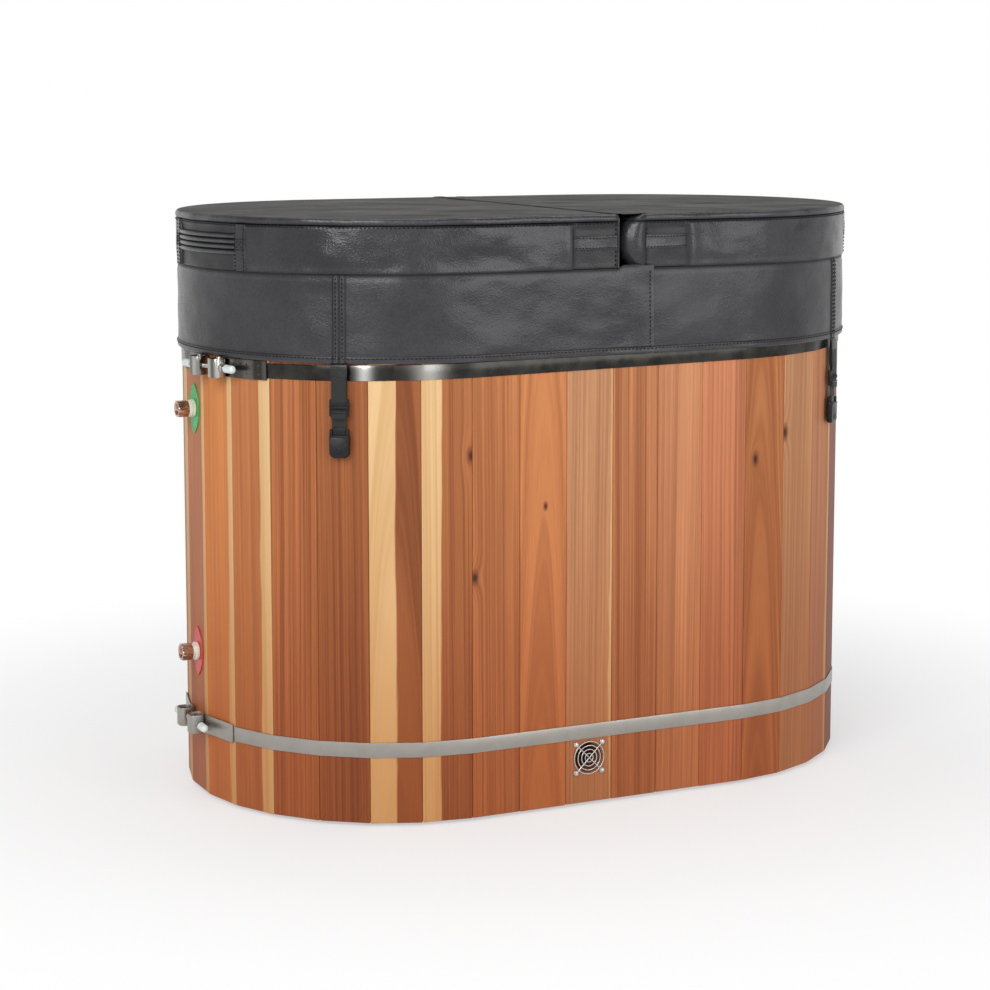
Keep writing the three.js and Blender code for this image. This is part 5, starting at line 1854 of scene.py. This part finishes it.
def curve_path(points, steps=8):
    """A smooth run through points of distance outwards and height."""
    path = []
    for i in range(len(points) - 1):
        corners = [points[min(len(points) - 1, max(0, i + k))] for k in (-1, 0, 1, 2)]
        for k in range(steps):
            t = k / steps
            shares = (-t + 2 * t ** 2 - t ** 3, 2 - 5 * t ** 2 + 3 * t ** 3,
                      t + 4 * t ** 2 - 3 * t ** 3, t ** 3 - t ** 2)
            path.append(tuple(sum(w * v for w, v in zip(shares, four)) / 2 for four in zip(*corners)))
    return path + [points[-1]]


def strap_place(along):
    return wall_frame(along, hem_offset(along) + VINYL + STRAP_OUT, HEM_Z - STRAP_GAP - STRAP_THICK / 2)


def strap(name, along):
    """Webbing doubled through a ladder adjuster, down to the tongue that the lock takes."""
    place = strap_place(along)
    body = f"strap_{name}"
    mid = -ADJUSTER_DROP
    half = ADJUSTER_HEIGHT / 2
    outer = curve_path([(-0.0002, 0.0004), (0.0010, -0.006), (0.0030, -0.030), (0.0034, mid + half),
                        (0.0014, mid + 0.005), (0.0016, mid - 0.002), (0.0040, mid - 0.007),
                        (0.0052, mid - half - 0.004)])
    inner = curve_path([(-0.0006, 0.0), (-0.0012, -0.008), (-0.0030, -0.028), (-0.0016, -0.046),
                        (0.0004, mid + half), (0.0002, mid + 0.003), (-0.0002, mid - half), (0.0, -0.096),
                        (0.0, -STRAP_LENGTH)])
    parts = [tape("tape", place, outer, STRAP_WIDTH, 0.0015, WEBBING)]
    parts.append(tape("tape", place, inner, STRAP_WIDTH, 0.0016, WEBBING))
    set_piece(joined(f"{body}_webbing", parts), body, "webbing", body)
    tab = curve_path([(-0.0016, 0.0006), (-0.0010, 0.0009), (0.0002, 0.0007), (0.0016, -0.003),
                      (0.0022, -0.010), (0.0026, -0.019)], 4)
    set_piece(tape(f"{body}_tab", place, tab, STRAP_WIDTH + 0.003, 0.0014, VINYL_TAB), body, "vinyl")
    blocks = []
    for side in (-1, 1):
        middle = (side * (ADJUSTER_WIDTH / 2 - 0.0021), 0, mid)
        blocks.append(((0.0042, ADJUSTER_THICK * 0.8, ADJUSTER_HEIGHT), middle, 0.0013))
    bars = ((half - 0.0022, -0.0016, 0.0044), (0.0005, -0.0030, 0.0042), (-0.0075, -0.0036, 0.0030),
            (-half + 0.0020, -0.0030, 0.0040))
    for rise, out, tall in bars:
        blocks.append(((ADJUSTER_WIDTH - 0.002, 0.0044, tall), (0, out, mid + rise), 0.0011))
    for i in range(-3, 4):
        blocks.append(((0.0016, 0.0018, 0.0060), (i * 0.0038, -0.0050, mid + 0.0010), 0.0005))
    parts = [rounded_block(place, *block) for block in blocks]
    set_piece(joined(f"{body}_adjuster", parts), body, "black_plastic", body)
    top = -STRAP_LENGTH + STRAP_THICK
    tall = TONGUE_LENGTH * 0.55
    blocks = [((TONGUE_WIDTH, TONGUE_THICK, tall), (0, 0, top - tall / 2), 0.0012)]
    for side in (-1, 0, 1):
        middle = (side * 0.0078, 0, top - TONGUE_LENGTH * 0.72)
        blocks.append(((0.0056, TONGUE_THICK * 0.8, tall), middle, 0.0012))
    parts = [rounded_block(place, *block) for block in blocks]
    set_piece(joined(f"{body}_tongue", parts), body, "black_plastic", body)


def lock(name, along):
    """Key lock: shouldered body with a pocket for the tongue, a line across it and a round key plug."""
    place = strap_place(along)
    top = -STRAP_LENGTH - 0.0005
    tall = LOCK_HEIGHT - LOCK_SHOULDER
    middle = top - LOCK_SHOULDER - tall / 2
    deep = LOCK_THICK / 2
    rings = []
    for out, inset in ((-deep, 0.0020), (-deep + 0.0006, 0.0008), (-deep + 0.0020, 0.0),
                       (deep - 0.0030, 0.0), (deep - 0.0010, 0.0008), (deep, 0.0024)):
        ring = []
        for x, z in rounded_rectangle(LOCK_WIDTH - 2 * inset, tall - 2 * inset, LOCK_CORNER - inset, 6):
            widened = abs(x) + (0.004 if z > tall / 2 - 0.007 else 0)
            x_full = math.copysign(min(LOCK_WIDTH / 2 - inset, widened), x)
            ring.append(place @ Vector((x_full, -out, middle + z)))
        rings.append(ring)
    body = loft("lock", rings, BLACK_PLASTIC, sharp=40.0)
    hollow = box_mesh(TONGUE_WIDTH + 0.001, TONGUE_THICK + 0.001, 2 * TONGUE_LENGTH + 0.001, (0, 0, top))
    pocket = mesh_object("pocket", *hollow, BLACK_PLASTIC)
    pocket.data.transform(place)
    cut_out(body, pocket)
    parts = [body]
    for side in (-1, 1):
        ear = (side * (LOCK_WIDTH / 2 - 0.0034), 0, top - LOCK_SHOULDER / 2 - 0.002)
        parts.append(rounded_block(place, (0.0052, LOCK_THICK * 0.86, LOCK_SHOULDER + 0.004), ear, 0.0018))
    lip = (0, -deep + 0.0004, top - LOCK_SHOULDER - 0.0030)
    parts.append(rounded_block(place, (LOCK_WIDTH - 0.004, 0.0026, 0.0030), lip, 0.0009))
    plug = place @ Matrix.Translation((0, -deep, top - LOCK_HEIGHT * 0.76))
    profile = [(0.0048, -0.0012), (0.0048, 0.0003), (0.0042, 0.0006), (0.0037, 0.0002), (0.0035, -0.0004),
               (0.0020, -0.0003), (0.0019, -0.0022)]
    parts.append(turned("plug", profile, plug, BLACK_PLASTIC, 28))
    set_piece(joined(f"lock_{name}_body", parts), f"lock_{name}", "black_plastic", f"lock_{name}")


for strap_name, strap_along in STRAPS.items():
    strap(strap_name, strap_along)
    lock(strap_name, strap_along)


# Stage, light and camera
def stage():
    """A pale floor that goes over to plain white away from the tub."""
    material, graph = new_material("pale_floor", Roughness=0.8, Base_Color=(0.94, 0.94, 0.94, 1.0))
    across, along, _ = graph.split(graph.place())
    reach = graph.math("SQRT", across * across + along * along)
    glow = graph.add("ShaderNodeEmission", {"Color": WHITE, "Strength": 1.0})
    graph.seen_plain("Material Output", graph.shader, glow, graph.span(reach, 0.7, 1.7, 0.5, 1.0))
    size = 9.0
    corners = [(-size, -size, 0), (size, -size, 0), (size, size, 0), (-size, size, 0)]
    mesh_object("floor_stage", corners, [(0, 1, 2, 3)], material)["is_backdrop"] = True


def softbox(name, place, target, width, height, power):
    lamp = bpy.data.lights.new(name, "AREA")
    lamp.shape = "RECTANGLE"
    lamp.size = width
    lamp.size_y = height
    lamp.energy = power
    obj = link(name, lamp)
    obj.location = place
    obj.rotation_euler = (Vector(target) - Vector(place)).to_track_quat("-Z", "Y").to_euler()


def light():
    """Soft fill from all round, seen as a white studio that darkens overhead, and three softboxes."""
    world = bpy.data.worlds.new("studio")
    bpy.context.scene.world = world
    world.use_nodes = True
    graph = Graph(world.node_tree, world.node_tree.nodes["Background"])
    graph.surface(Color=(0.96, 0.98, 1.0, 1.0), Strength=0.36)
    _, _, up = graph.split(graph.place("Generated"))
    studio = {"Color": WHITE, "Strength": graph.span(up, 0.06, 0.55, 1.0, 0.25)}
    graph.seen_plain("World Output", graph.shader, graph.add("ShaderNodeBackground", studio))
    softbox("key", (-2.6, -2.6, 2.6), (0, 0, 0.5), 2.2, 2.2, 96)
    softbox("front", (1.4, -3.8, 1.6), (0, 0, 0.5), 2.4, 2.0, 42)
    softbox("top", (0.3, 0.6, 3.4), (0, 0, 0.6), 2.6, 2.0, 34)


def camera():
    lens = bpy.data.cameras.new("camera")
    lens.sensor_width = 36.0
    lens.lens = 87.0
    lens.shift_y = -0.101
    obj = link("camera", lens)
    obj.location = (-1.905, -3.907, 1.213)
    obj.rotation_euler = (math.radians(90 - 7.16), 0, math.radians(-25.45))
    bpy.context.scene.camera = obj


stage()
light()
camera()
bpy.context.scene.view_settings.view_transform = "Standard"

boxes = {"cad": CAD_BOX, "visual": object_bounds()}
{name: [list(corner) for corner in box] for name, box in boxes.items()}
